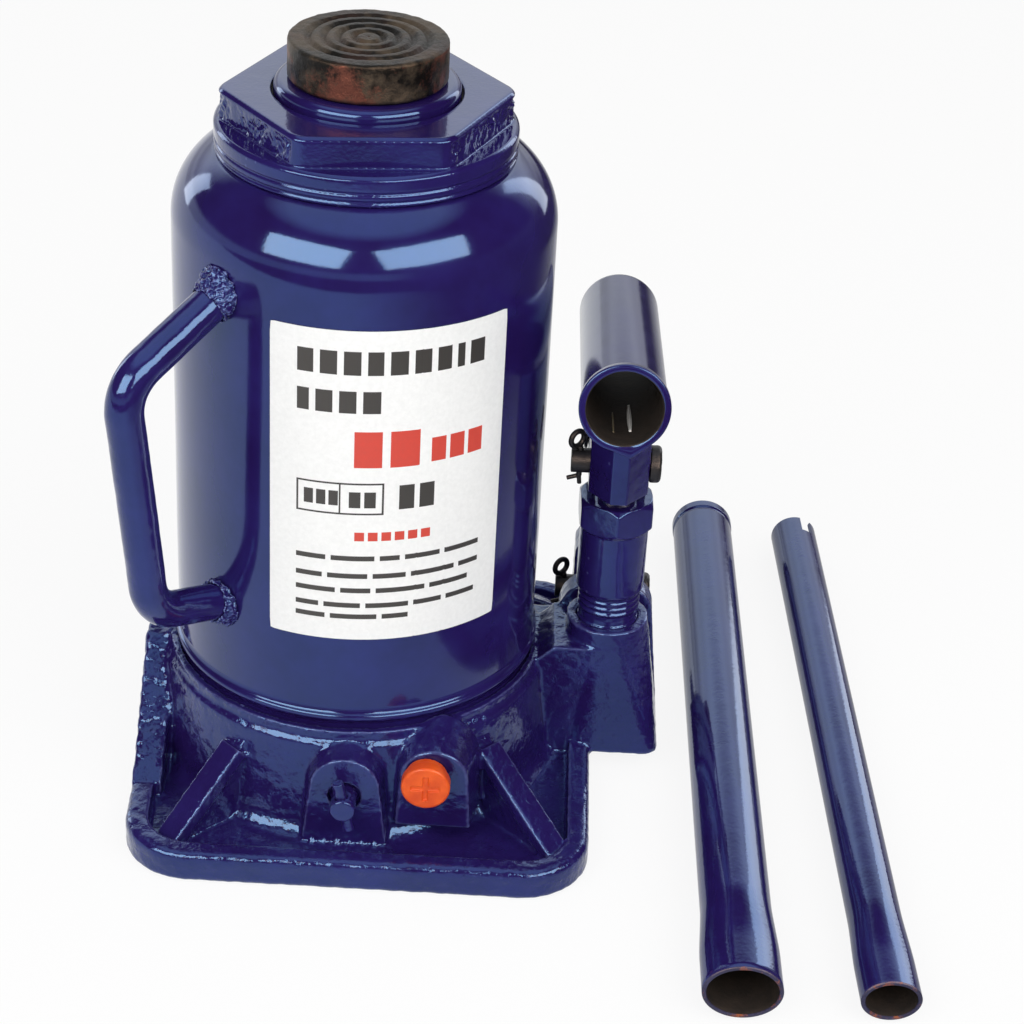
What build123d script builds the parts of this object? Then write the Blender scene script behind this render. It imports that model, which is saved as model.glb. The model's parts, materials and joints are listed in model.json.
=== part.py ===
from build123d import *
import math
import os

# A 20 t class hydraulic bottle jack, closed, with its two handle tubes beside it.
# Millimetres. Z is up and the origin is on the tank axis, on the floor.
# X points from the tank to the pump, and Y from the release valve side to the back.

# ------------------------------------------------------------------ oil tank
TANK_R = 58.0
TANK_WALL = 3.5
TANK_TOP = 211.0
TANK_SHOULDER_Z = 190.0
TANK_NECK_R = 45.0
TANK_BEAD = 1.1
TANK_BEAD_UP = 3.8          # collar top up to the middle of the rolled bead
TANK_BEAD_HALF = 1.4
TANK_CROWN = (3.6, 8.4)     # point on the shoulder: in from the wall, down from the top
TANK_LIP = 2.0              # flat inside the neck
GASKET = 1.5

# ------------------------------------------------------------------ foot casting
BASE_LEFT_EDGE = 7.8        # tank wall to the edge away from the pump
BASE_RIGHT_EDGE = 21.0      # tank wall to the edge under the pump
BASE_END_EDGE = 27.6        # tank wall to the front and back edges
BASE_CORNER_R = 21.5
BASE_BOW = 2.6              # outward bow of the edge away from the pump
RIM_HEIGHT = 10.5
RIM_WIDTH = 7.0
RIM_ROUND = 2.8
SOLE_CHAMFER = 1.0
TRAY_FLOOR = 5.5
BASE_TOP = 42.0             # top of the collar around the tank
COLLAR_WALL = 2.7
COLLAR_DEPTH = 5.0          # how deep the tank stands in the collar
COLLAR_BAND = 3.0           # height of the plain band at the collar's top
COLLAR_SLANT = 1.5
SKIRT_TOP_FLARE = 1.45      # skirt beyond the collar, at its top, waist and foot
SKIRT_WAIST_FLARE = 4.6
SKIRT_FOOT_FLARE = 8.6
SKIRT_WAIST_Z = 12.5
SKIRT_FOOT_HOLLOW = 1.4     # how far the curve at the skirt's foot is drawn in
RIB_WIDTH = 5.8
RIB_FOOT_LEFT = (15.3, 14.2)    # rib's foot in from the edges of the plate, X and Y
RIB_FOOT_RIGHT = (12.2, 17.3)
RIB_TOE = 8.0               # how far the rib runs on past its foot, into the rim
RIB_ROOT_Z = 30.0
RIB_ROOT_INTO = 10.0        # how far a rib runs on into the skirt
WALL_DROP = 1.0             # collar top down to the side wall's top
WALL_TOP_HALF = 9.0         # half length of the side wall at its top
WALL_STEP = (34.0, 21.0)    # half length and height where its slope eases
WALL_FOOT_HALF = 50.0

# ------------------------------------------------------------------ lifting cylinder
RAM_R = 27.5
RAM_TOP = 233.0
RAM_STROKE = 150.0
CYLINDER_BORE_R = 30.0
CYLINDER_WALL = 5.0
CYLINDER_SEAT = 24.0        # depth of the seat in the casting
CYLINDER_SPARE = 8.5        # cylinder above the piston at full lift
PISTON_LENGTH = 18.0
PISTON_REST = 4.0           # oil space under the piston at rest
PISTON_GROOVE = 5.0         # piston foot to its seal groove
SEAL_HEIGHT = 6.0
SEAL_DEPTH = 4.0
SLIDE_FIT = 0.05            # radial clearance of ram, piston, screw and plunger
NUT_FLANGE_R = 45.0
NUT_FLANGE_H = 9.5
NUT_HEX_R = 44.4            # corner radius of the hexagon before rounding
NUT_HEX_H = 9.2
NUT_HEX_TURN = 6.8
NUT_CORNER_ROUND = 7.0
NUT_EDGE = 1.0
NUT_TOP_EDGE = 1.0
NUT_GROOVES = (1.9, 4.5)    # grooves round the flange: heights, half width and depth
NUT_GROOVE_HALF = 0.6
NUT_GROOVE_D = 0.8
NUT_SPIGOT = 14.0
WIPER_HEIGHT = 4.0
WIPER_DEPTH = 3.0
WIPER_SINK = 2.0            # nut's top face down to the wiper
LIP_GAP = 0.7               # open gap round the ram above the wiper
NUT_ENTRY = 3.0             # radial wall of the tank's neck on the cylinder

# ------------------------------------------------------------------ extension screw
SCREW_R = 17.0
SCREW_LIFT = 60.0
SCREW_LENGTH = 100.0
STOP_R = 19.0
STOP_HEIGHT = 4.0
SADDLE_R = 23.6
SADDLE_H = 12.1
SADDLE_GAP = 0.3            # saddle above the ram when the screw is home
SPIGOT_R = 10.0
SPIGOT_H = 7.0
SADDLE_GROOVE_PITCH = 4.4
SADDLE_GROOVES = 4
SADDLE_GROOVE_W = 1.5
SADDLE_GROOVE_D = 1.1
RAM_NOSE_R = 2.4            # rounding of the ram's top edge
RAM_FLOOR = 20.0            # solid foot of the hollow ram

# ------------------------------------------------------------------ hand pump
PUMP_REACH = 24.0           # tank wall to the pump axis
PUMP_BOSS_TOP = 52.5
PUMP_BOSS_TOP_R = 13.2
PUMP_BOSS_FOOT = 7.5
PUMP_BOSS_SIZE = (29.5, 33.0)   # width and depth of the boss at its foot
PUMP_BOSS_REACH = 19.5      # pump axis out to the boss's foot
PUMP_BOSS_ROUND = 5.0
PUMP_WEB_HALF = 13.9
PUMP_WEB_DROP = 6.0         # boss top down to its web
PUMP_WEB_KNEE = (7.0, 38.0) # tank wall out to the web's knee, and its height
PUMP_WALL_HALF = 15.7
PUMP_WALL_TOP = 54.7
PUMP_WALL_FRONT = 12.6
PUMP_WALL_BACK = 22.0
PUMP_WALL_ROUND = 12.0
PUMP_WALL_SPREAD = 3.8      # how much wider the wall is at its foot, each side
REAR_WEB_TOP = 40.0
REAR_WEB_FOOT = 12.0
PUMP_BORE_FLOOR = 26.0
PUMP_POCKET = 6.0           # oil pocket below the pump's seat
BARREL_R = 11.0
BARREL_NECK_R = 9.4
BARREL_NECK_TOP = 62.2
BARREL_THREAD_R = 10.0
NECK_PLAIN = 3.5            # boss top up to the first ring
NECK_RINGS = 3
HEX_LOW = 87.0
HEX_TOP = 97.4
HEX_FLATS = 23.0
HEX_TURN = 33.0
HEX_CROWN = 1.6             # corners turned off above and below
NECK_RING_OUT = 0.8
NECK_FLARE = 2.0            # height over which the neck widens to the barrel
PLUNGER_R = 6.0
PLUNGER_FOOT = 34.0
EYE_R = 6.5
EYE_HALF_WIDTH = 4.5
EYE_ROOT = 2.0              # round plunger stops this far below the eye
WASHER = 1.5
GLAND_WALL = 2.5
GLAND_HEIGHT = 5.0
GLAND_SINK = 2.0            # top of the pump head down to the gland
PLUNGER_SEAL_UP = 3.0       # plunger foot to its seal groove
PLUNGER_SEAL_H = 3.0
PLUNGER_SEAL_D = 1.5

# ------------------------------------------------------------------ pump linkage
PIN_R = 4.0
PIN_FIT = 0.08              # radial clearance of the linkage pins
PIN_PLAY = 0.2              # end play under each pin head
PUMP_PIN_Z = 109.0
REAR_PIN_Y = 29.0
REAR_PIN_Z = 104.1
LINK_FOOT_Y = 32.0
LINK_FOOT_Z = 41.5
LINK_EYE_R = 8.0
LINK_THICK = 3.2
LINK_JOG = (60.0, 70.0)     # heights between which each plate steps in to the bracket
LINK_WAIST = 2.0            # how far each long edge is drawn in
LINK_WAIST_R = 150.0
LINK_SLOT_Y = 1.6           # play of the open pivot across the link
LINK_SLOT_Z = 1.2           # play of the open pivot along the link
LUG_HALF_WIDTH = 7.2
LUG_R = 9.5
LUG_SETBACK = 6.0           # lug block in front of the link foot pin
LUG_FOOT = 12.0
SIDE_GAP = 0.4              # side clearance between linkage pieces
BRACKET_HALF_WIDTH = 9.5
BRACKET_WALL = 3.0
BRACKET_NOSE_Y = 14.0       # pump axis to the folded nose
BRACKET_FOOT_Z = 101.0
BRACKET_NOSE_HALF = 2.6
BRACKET_NOSE_LENGTH = 8.0
BRACKET_BACK = 9.5          # rear pin to the back edge
BRACKET_FOOT_BACK = 9.0     # pump axis to the end of the level foot
BRACKET_BELLY = ((-6.0, -7.0), (4.0, -9.0), (9.5, -2.0))    # lower edge, from the rear pin
PIN_HEAD_R = 6.0
PIN_HEAD_H = 3.6
PIN_TAIL = 5.6              # pin beyond its outer washer face, for the split pin
RIVET_HEAD_H = 1.3
COTTER_R = 0.9
COTTER_EYE_R = 2.6
COTTER_LEAN = 0.45          # share of the eye's radius that it leans outward
COTTER_TURN = 40.0
COTTER_LEG_R = 0.72
COTTER_ROOT = 1.5           # where the legs part, below the pin
COTTER_LEGS = (((-0.9, 0, -0.3), 4.0), ((0.1, 0, -1), 3.0))
PIN_DOME = 0.4              # share of the head's height that is rounded

# ------------------------------------------------------------------ handle socket
SOCKET_SLOPE = 9.65         # degrees, the open end higher
SOCKET_OFFSET = 2.0         # tube axis to the pump axis, on the tank's side
SOCKET_AXIS_Z = 147.2       # height of the tube axis beside the pump axis
SOCKET_FRONT = 52.7         # pump axis to the open end, along the tube
SOCKET_BACK = 45.7
SOCKET_R = 12.7
SOCKET_BORE_R = 11.2
SOCKET_LIP = 0.8
SOCKET_LIP_LENGTH = 3.2
SOCKET_DOT_R = 1.6          # dimple that locks the handle, one side
SOCKET_DOT_IN = 9.0         # from the closed side's end
SOCKET_DOT_DOWN = 6.0

# ------------------------------------------------------------------ valves in the casting
RELEASE_X = 2.0
RELEASE_Z = 23.5
RELEASE_SINK = 0.35         # boss face back from the skirt's foot
RELEASE_BOSS = (10.9, 26.4, 3.0, 1.0)   # arch radius and centre height, spread, foot height
SPINDLE_R = 4.0
SPINDLE_PROUD = 8.0
SPINDLE_INTO = 3.0
SPINDLE_ROUND = 0.8
VALVE_SHY = 2.0             # threaded part behind the boss face
VALVE_THREAD_R = 5.0
CROSS_PIN_R = 2.0
CROSS_PIN_LENGTH = 18.0
CROSS_PIN_TURN = 12.0
CROSS_PIN_IN = 3.4          # spindle's tip back to the pin
OIL_WAY_R = 2.2
OIL_WAY_Z = 17.0
CHAMBER_DEPTH = 3.0         # oil chamber below the cylinder's seat
CHAMBER_IN = 3.0            # and in from the bore
CHAMBER_WAY_X = 16.0
RELEASE_WAY = 30.0          # length of the way behind each seat
SAFETY_WAY = 14.0
RETURN_IN = 5.0             # return ways, in front of the seats
VALVE_SEAT_GAP = 3.0        # cylinder wall out to both ball seats
BALL_R = 3.5
SAFETY_BOSS_X = 29.5
SAFETY_X = 27.2
SAFETY_Z = 31.5
SAFETY_SINK = 2.85
SAFETY_BOSS = (10.6, 29.8, 1.2, 11.5)
SAFETY_BORE_R = 4.2
SAFETY_BALL_R = 3.0
SPRING_PITCH = 2.4
CAP_R = 7.6
CAP_PROUD = 7.0
CAP_STEM = 6.0
CAP_FACE = 4.2
CAP_GROOVE = 3.0
CAP_NECK_IN = 1.0
CAP_ROUND = 1.0
CAP_CROSS = (9.0, 1.8, 0.7) # length, width and depth of the recess
SAFETY_SCREW_GAP = 0.5
SAFETY_SCREW_LENGTH = 5.0
SAFETY_SLOT = (2.4, 1.4)
SPRING_WIRE_R = 0.7
BOSS_FLARE = 3.2            # how much wider a valve boss is at its root
BOSS_REACH = 17.0           # from a boss face back into the skirt

# ------------------------------------------------------------------ carry handle
CARRY_TURN = -132.0         # compass direction of the handle, degrees
CARRY_R = 5.75
CARRY_TOP = (0.0, 180.6)    # distance from the tank wall, and height
CARRY_KNEE = (36.2, 163.5)
CARRY_HEEL = (27.6, 84.3)
CARRY_FOOT = (0.0, 76.8)
CARRY_SINK = 6.0            # bar run on into the wall before it is trimmed
CARRY_BEND_R = 14.0
WELD_R = 9.2
WELD_LENGTH = 8.5
WELD_SINK = 4.0
WELD_NECK = 0.6             # weld over the bar at its thin end

# ------------------------------------------------------------------ filler plug
FILLER_Z = 172.0
FILLER_R = 5.5
FILLER_FLANGE_R = 7.5
FILLER_PROUD = 2.6
FILLER_SEAT = 1.2           # the flange's hollow over the round wall
FILLER_ROUND = 1.6
FILLER_STEM_IN = 4.0        # stem beyond the wall, inside the tank

# ------------------------------------------------------------------ handle tubes
THICK_R = 10.85
THICK_WALL = 1.35
THICK_BEAD_R = 11.05
THICK_NEAR = (41.8, -135.0) # ends of its axis: beyond the pump axis, and Y
THICK_FAR = (38.9, 127.9)
THICK_END_W = 24.0
THICK_END_H = 19.5
THIN_R = 8.25
THIN_WALL = 1.4
THIN_NEAR = (85.8, -132.0)
THIN_FAR = (73.9, 128.8)
THIN_END_W = 18.2
THIN_END_H = 14.8
END_LENGTH = 36.0           # pressed end, with the taper back to round
END_FLAT = 0.45             # share of that length which is a plain oval
BEAD_LENGTH = 4.0
NOTCH_W = 4.4
NOTCH_DEPTH = 9.0
NOTCH_TURN = 40.0

# ------------------------------------------------------------------ worked out from the above
COLLAR_R = TANK_R + COLLAR_WALL + SLIDE_FIT
SKIRT_TOP_R = COLLAR_R + SKIRT_TOP_FLARE
SKIRT_WAIST_R = COLLAR_R + SKIRT_WAIST_FLARE
SKIRT_FOOT_R = COLLAR_R + SKIRT_FOOT_FLARE
BASE_LEFT = TANK_R + BASE_LEFT_EDGE
BASE_RIGHT = TANK_R + BASE_RIGHT_EDGE
BASE_HALF_DEPTH = TANK_R + BASE_END_EDGE
PUMP_X = TANK_R + PUMP_REACH
RELEASE_FACE_Y = RELEASE_SINK - SKIRT_FOOT_R
SAFETY_FACE_Y = SAFETY_SINK - SKIRT_FOOT_R
SAFETY_SCREW_Y = SAFETY_FACE_Y + CAP_STEM + SAFETY_SCREW_GAP
VALVE_SEAT_Y = -CYLINDER_BORE_R - CYLINDER_WALL - VALVE_SEAT_GAP
TANK_INNER_R = TANK_R - TANK_WALL
DECK = BASE_TOP - COLLAR_DEPTH
TANK_FOOT = DECK + GASKET
CYLINDER_R = CYLINDER_BORE_R + CYLINDER_WALL
CYLINDER_FOOT = CYLINDER_SEAT + WASHER
CHAMBER_FLOOR = CYLINDER_SEAT - CHAMBER_DEPTH
TANK_MOUTH_R = CYLINDER_R + NUT_ENTRY
PISTON_FOOT = CYLINDER_FOOT + PISTON_REST
RAM_FOOT = PISTON_FOOT + PISTON_LENGTH
CYLINDER_TOP = RAM_FOOT + RAM_STROKE + CYLINDER_SPARE
NUT_FLANGE_TOP = TANK_TOP + NUT_FLANGE_H
NUT_TOP = NUT_FLANGE_TOP + NUT_HEX_H
WIPER_SEAT = NUT_TOP - WIPER_SINK - WIPER_HEIGHT
SADDLE_FOOT = RAM_TOP + SADDLE_GAP
SADDLE_TOP = SADDLE_FOOT + SADDLE_H
SCREW_FOOT = SADDLE_FOOT - SCREW_LENGTH
STOP_TOP = SCREW_FOOT + STOP_HEIGHT + SCREW_LIFT
LINK_INNER = LUG_HALF_WIDTH + SIDE_GAP + SIDE_GAP
LINK_OUTER = LINK_INNER + LINK_THICK
LINK_TOP_OUTER = BRACKET_HALF_WIDTH - BRACKET_WALL - SIDE_GAP
LINK_TOP_INNER = LINK_TOP_OUTER - LINK_THICK
PUMP_FACE = PUMP_BORE_FLOOR + WASHER
GLAND_SEAT = HEX_TOP - GLAND_SINK - GLAND_HEIGHT
PLUNGER_GROOVE = PLUNGER_FOOT + PLUNGER_SEAL_UP
SLOPE = math.radians(SOCKET_SLOPE)
OVER = 1.0                  # overlap that a cutter runs past a face

LOW = (Align.CENTER, Align.CENTER, Align.MIN)


def disc(radius, low, high, x=0.0, y=0.0):
    """Upright cylinder between two heights."""
    return Pos(x, y, low) * Cylinder(radius, high - low, align=LOW)


def ring(outer, inner, low, high, x=0.0, y=0.0):
    """Upright ring between two heights."""
    return disc(outer, low, high, x, y) - disc(inner, low - OVER, high + OVER, x, y)


def rod(start, direction, radius, length):
    """Cylinder that starts at a point and runs along a direction."""
    return Plane(origin=start, z_dir=direction) * Cylinder(radius, length, align=LOW)


def turned(points, x=0.0, y=0.0):
    """Solid of revolution about an upright axis, from (radius, height) points."""
    return Pos(x, y, 0) * revolve(Plane.XZ * make_face(Polyline(*points, close=True)), Axis.Z)


def side_plate(outline, x_low, x_high):
    """Flat plate across X whose outline is given as a sketch of (Y, Z)."""
    return Pos(x_low, 0, 0) * extrude(Plane.YZ * outline, x_high - x_low)


def front_plate(outline, y_low, y_high):
    """Flat plate across Y whose outline is given as a sketch of (X, Z)."""
    return Pos(0, y_high, 0) * extrude(Plane.XZ * outline, y_high - y_low)


# ------------------------------------------------------------------ foot casting
def base_plan(inset):
    """Plan of the foot plate, drawn in from its edge by a given amount."""
    left = inset - BASE_LEFT
    right = BASE_RIGHT - inset
    end = BASE_HALF_DEPTH - inset
    outline = ThreePointArc((left, -end), (left - BASE_BOW, 0), (left, end))
    outline += Polyline((left, end), (right, end), (right, -end), (left, -end))
    plan = make_face(outline)
    return fillet(plan.vertices(), BASE_CORNER_R - inset)


def foot_plate():
    """Tray-like plate: a thin floor with a thick rim all round."""
    plate = extrude(base_plan(0), RIM_HEIGHT)
    plate = chamfer(plate.edges().group_by(Axis.Z)[0], SOLE_CHAMFER)
    plate = fillet(plate.edges().group_by(Axis.Z)[-1], RIM_ROUND)
    tray = Pos(0, 0, TRAY_FLOOR) * extrude(base_plan(RIM_WIDTH), RIM_HEIGHT)
    return plate - tray


def skirt():
    """Flared body from the plate up to the collar, trimmed to the plate's plan."""
    band = BASE_TOP - COLLAR_BAND
    flare_top = band - COLLAR_SLANT
    middle_r = (SKIRT_FOOT_R + SKIRT_WAIST_R) / 2 - SKIRT_FOOT_HOLLOW
    middle_z = (TRAY_FLOOR + SKIRT_WAIST_Z) / 2
    outline = Polyline((SKIRT_WAIST_R, SKIRT_WAIST_Z), (SKIRT_TOP_R, flare_top), (COLLAR_R, band),
                       (COLLAR_R, BASE_TOP), (0, BASE_TOP), (0, 0), (SKIRT_FOOT_R, 0),
                       (SKIRT_FOOT_R, TRAY_FLOOR))
    outline += ThreePointArc((SKIRT_FOOT_R, TRAY_FLOOR), (middle_r, middle_z),
                             (SKIRT_WAIST_R, SKIRT_WAIST_Z))
    body = revolve(Plane.XZ * make_face(outline), Axis.Z)
    return body & extrude(base_plan(0), BASE_TOP)


def side_wall():
    """Raised wall along the edge away from the pump, tallest beside the tank."""
    peak = BASE_TOP - WALL_DROP
    half = Polyline((0, 0), (0, peak), (WALL_TOP_HALF, peak), WALL_STEP, (WALL_FOOT_HALF, RIM_HEIGHT),
                    (WALL_FOOT_HALF, 0), close=True)
    outline = make_face(half) + mirror(make_face(half), Plane.YZ)
    wall = side_plate(outline, -BASE_LEFT - BASE_BOW, -TANK_R)
    return wall & extrude(base_plan(0), BASE_TOP)


def corner_rib(side, end):
    """Buttress from the skirt down to one corner of the tray."""
    in_x, in_y = RIB_FOOT_RIGHT if side > 0 else RIB_FOOT_LEFT
    edge_x = BASE_RIGHT if side > 0 else BASE_LEFT
    foot = Vector(side * (edge_x - in_x), end * (BASE_HALF_DEPTH - in_y), 0)
    toward = Vector(side, end, 0).normalized()
    along = foot.dot(toward)
    root = -along + math.sqrt(SKIRT_WAIST_R ** 2 - foot.length ** 2 + along ** 2)
    inside = root - RIB_ROOT_INTO
    slope = (RIB_ROOT_Z - RIM_HEIGHT) / -root
    crest = Polyline((inside, 1), (RIB_TOE, 1), (RIB_TOE, RIM_HEIGHT - slope * RIB_TOE),
                     (inside, RIM_HEIGHT - slope * inside), close=True)
    plane = Plane(origin=foot, x_dir=toward, z_dir=toward.cross(Vector(0, 0, 1)))
    rib = extrude(plane * make_face(crest), RIB_WIDTH / 2, both=True)
    return rib & extrude(base_plan(RIM_WIDTH / 2), BASE_TOP - COLLAR_DEPTH)


def arch(radius, centre_z, spread, foot):
    """Arched outline in (X, Z): a round top on sides that spread toward the foot."""
    wide = radius + spread
    sides = Polyline((-wide, foot), (wide, foot), (radius, centre_z), (-radius, centre_z), close=True)
    return make_face(sides) + Pos(0, centre_z) * Circle(radius)


def valve_boss(x, face_y, shape):
    """Arched boss that grows out of the skirt and carries a valve."""
    radius, centre_z, spread, foot = shape
    front = Plane.XZ.offset(-face_y) * (Pos(x, 0) * arch(radius, centre_z, spread, foot))
    root = arch(radius + BOSS_FLARE, centre_z, spread, foot)
    back = Plane.XZ.offset(-face_y - BOSS_REACH) * (Pos(x, 0) * root)
    return loft([front.face(), back.face()])


def pump_block():
    """Upright boss for the pump with its web, the arched wall and the link lug behind it."""
    width, depth = PUMP_BOSS_SIZE
    web_out, web_z = PUMP_WEB_KNEE
    web_top = PUMP_BOSS_TOP - PUMP_WEB_DROP
    inner = TANK_R - PUMP_WALL_HALF
    toe = (BASE_RIGHT - 2 * SOLE_CHAMFER, 1)
    low = Pos(PUMP_X + PUMP_BOSS_REACH - width / 2, 0, PUMP_BOSS_FOOT) * RectangleRounded(
        width, depth, PUMP_BOSS_ROUND)
    high = Pos(PUMP_X, 0, PUMP_BOSS_TOP) * RectangleRounded(
        2 * PUMP_BOSS_TOP_R, 2 * PUMP_BOSS_TOP_R, PUMP_BOSS_TOP_R - SOLE_CHAMFER / 2)
    web = make_face(Polyline((inner, 1), (inner, web_z - 4), (TANK_R - 2, web_z), (TANK_R + web_out, web_top),
                             (PUMP_X, web_top), (PUMP_X, PUMP_BOSS_FOOT + 1), toe, close=True))
    block = loft([low.face(), high.face()]) + front_plate(web, -PUMP_WEB_HALF, PUMP_WEB_HALF)
    shoulder = PUMP_WALL_TOP - PUMP_WALL_ROUND
    foot_half = PUMP_WALL_HALF + PUMP_WALL_SPREAD
    wall = Pos(PUMP_X, shoulder) * RectangleRounded(2 * PUMP_WALL_HALF, 2 * PUMP_WALL_ROUND,
                                                    PUMP_WALL_ROUND - OVER)
    wall += make_face(Polyline((PUMP_X - foot_half, PUMP_BOSS_FOOT), (PUMP_X + foot_half, PUMP_BOSS_FOOT),
                               (PUMP_X + PUMP_WALL_HALF, shoulder), (PUMP_X - PUMP_WALL_HALF, shoulder),
                               close=True))
    block += front_plate(wall, PUMP_WALL_FRONT, PUMP_WALL_BACK)
    rear_web = make_face(Polyline((inner, 1), (inner, REAR_WEB_TOP), (PUMP_X, REAR_WEB_TOP),
                                  (PUMP_X, REAR_WEB_FOOT), toe, close=True))
    block += front_plate(rear_web, PUMP_WALL_FRONT, PUMP_WALL_BACK)
    lug = Pos(LINK_FOOT_Y, LINK_FOOT_Z) * Circle(LUG_R)
    lug += Pos(LINK_FOOT_Y - LUG_SETBACK, (LINK_FOOT_Z + LUG_FOOT) / 2) * Rectangle(
        2 * (LUG_R + LUG_SETBACK), LINK_FOOT_Z - LUG_FOOT)
    return block + side_plate(lug, PUMP_X - LUG_HALF_WIDTH, PUMP_X + LUG_HALF_WIDTH)


def make_base():
    """The one-piece iron casting with every seat, bore and oil way cut in it."""
    body = foot_plate() + skirt() + side_wall()
    for side in (-1, 1):
        for end in (-1, 1):
            body += corner_rib(side, end)
    body += valve_boss(RELEASE_X, RELEASE_FACE_Y, RELEASE_BOSS)
    body += valve_boss(SAFETY_BOSS_X, SAFETY_FACE_Y, SAFETY_BOSS)
    body += pump_block()
    body -= disc(TANK_R + SLIDE_FIT, DECK, PUMP_WALL_TOP + OVER)
    body -= disc(CYLINDER_R + SLIDE_FIT, CYLINDER_SEAT, BASE_TOP)
    body -= disc(CYLINDER_BORE_R - CHAMBER_IN, CHAMBER_FLOOR, BASE_TOP)
    body -= disc(BARREL_THREAD_R + SLIDE_FIT, PUMP_BORE_FLOOR, PUMP_BOSS_TOP + OVER, PUMP_X)
    body -= disc(PLUNGER_R, PUMP_BORE_FLOOR - PUMP_POCKET, PUMP_BOSS_TOP, PUMP_X)
    body -= oil_ways()
    body -= rod((PUMP_X - LUG_HALF_WIDTH - OVER, LINK_FOOT_Y, LINK_FOOT_Z), (1, 0, 0), PIN_R + PIN_FIT,
                2 * (LUG_HALF_WIDTH + OVER))
    return body


def drilled(x, z, mouth_y, bore_r, way):
    """Valve bore from its boss face to the ball seat, the way behind it and the return to the tank."""
    cut = rod((x, mouth_y - OVER, z), (0, 1, 0), bore_r + SLIDE_FIT, VALVE_SEAT_Y - mouth_y + OVER)
    cut += rod((x, VALVE_SEAT_Y - OVER, z), (0, 1, 0), OIL_WAY_R, way)
    return cut + disc(OIL_WAY_R, z, DECK + OVER, x, VALVE_SEAT_Y - RETURN_IN)


def oil_ways():
    """Drilled passages: pump to cylinder, cylinder to both valves, and returns to the tank."""
    cuts = rod((CHAMBER_WAY_X, 0, OIL_WAY_Z), (1, 0, 0), OIL_WAY_R, PUMP_X - CHAMBER_WAY_X)
    cuts += disc(OIL_WAY_R, OIL_WAY_Z, CHAMBER_FLOOR + OVER, CHAMBER_WAY_X)
    cuts += disc(OIL_WAY_R, OIL_WAY_Z, PUMP_BORE_FLOOR, PUMP_X)
    cuts += drilled(RELEASE_X, RELEASE_Z, RELEASE_FACE_Y, VALVE_THREAD_R, RELEASE_WAY)
    return cuts + drilled(SAFETY_X, SAFETY_Z, SAFETY_FACE_Y, SAFETY_BORE_R, SAFETY_WAY)


# ------------------------------------------------------------------ oil tank
def make_tank():
    """Drawn steel tank with a rounded shoulder and a rolled bead above the collar."""
    inner = TANK_INNER_R
    bead = BASE_TOP + TANK_BEAD_UP
    low = bead - TANK_BEAD_HALF
    high = bead + TANK_BEAD_HALF
    crown_in, crown_down = TANK_CROWN
    under = TANK_TOP - TANK_WALL
    lip = TANK_NECK_R - TANK_LIP
    inside = TANK_SHOULDER_Z - OVER
    wall = Polyline((inner, TANK_FOOT), (TANK_R, TANK_FOOT), (TANK_R, low))
    wall += ThreePointArc((TANK_R, low), (TANK_R + TANK_BEAD, bead), (TANK_R, high))
    wall += Line((TANK_R, high), (TANK_R, TANK_SHOULDER_Z))
    wall += ThreePointArc((TANK_R, TANK_SHOULDER_Z), (TANK_R - crown_in, TANK_TOP - crown_down),
                          (TANK_NECK_R, TANK_TOP))
    wall += Polyline((TANK_NECK_R, TANK_TOP), (TANK_MOUTH_R, TANK_TOP), (TANK_MOUTH_R, under), (lip, under))
    wall += ThreePointArc((lip, under), (inner - crown_in, under - crown_down), (inner, inside))
    wall += Line((inner, inside), (inner, TANK_FOOT))
    tank = revolve(Plane.XZ * make_face(wall), Axis.Z)
    hole = rod((0, inner - FILLER_STEM_IN, FILLER_Z), (0, 1, 0), FILLER_R, TANK_WALL + 2 * FILLER_STEM_IN)
    return tank - hole


def make_filler_plug():
    """Rubber plug with a domed flange, pushed into the tank wall."""
    flange = rod((0, TANK_R - FILLER_SEAT, FILLER_Z), (0, 1, 0), FILLER_FLANGE_R, FILLER_PROUD + FILLER_SEAT)
    flange = fillet(flange.edges().sort_by(Axis.Y)[-1], FILLER_ROUND)
    flange -= disc(TANK_R, FILLER_Z - 2 * FILLER_FLANGE_R, FILLER_Z + 2 * FILLER_FLANGE_R)
    stem = rod((0, TANK_INNER_R - FILLER_STEM_IN, FILLER_Z), (0, 1, 0), FILLER_R,
               FILLER_STEM_IN + TANK_WALL + FILLER_SEAT)
    return stem + flange


# ------------------------------------------------------------------ lifting cylinder
def make_cylinder():
    return ring(CYLINDER_R, CYLINDER_BORE_R, CYLINDER_FOOT, CYLINDER_TOP)


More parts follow.
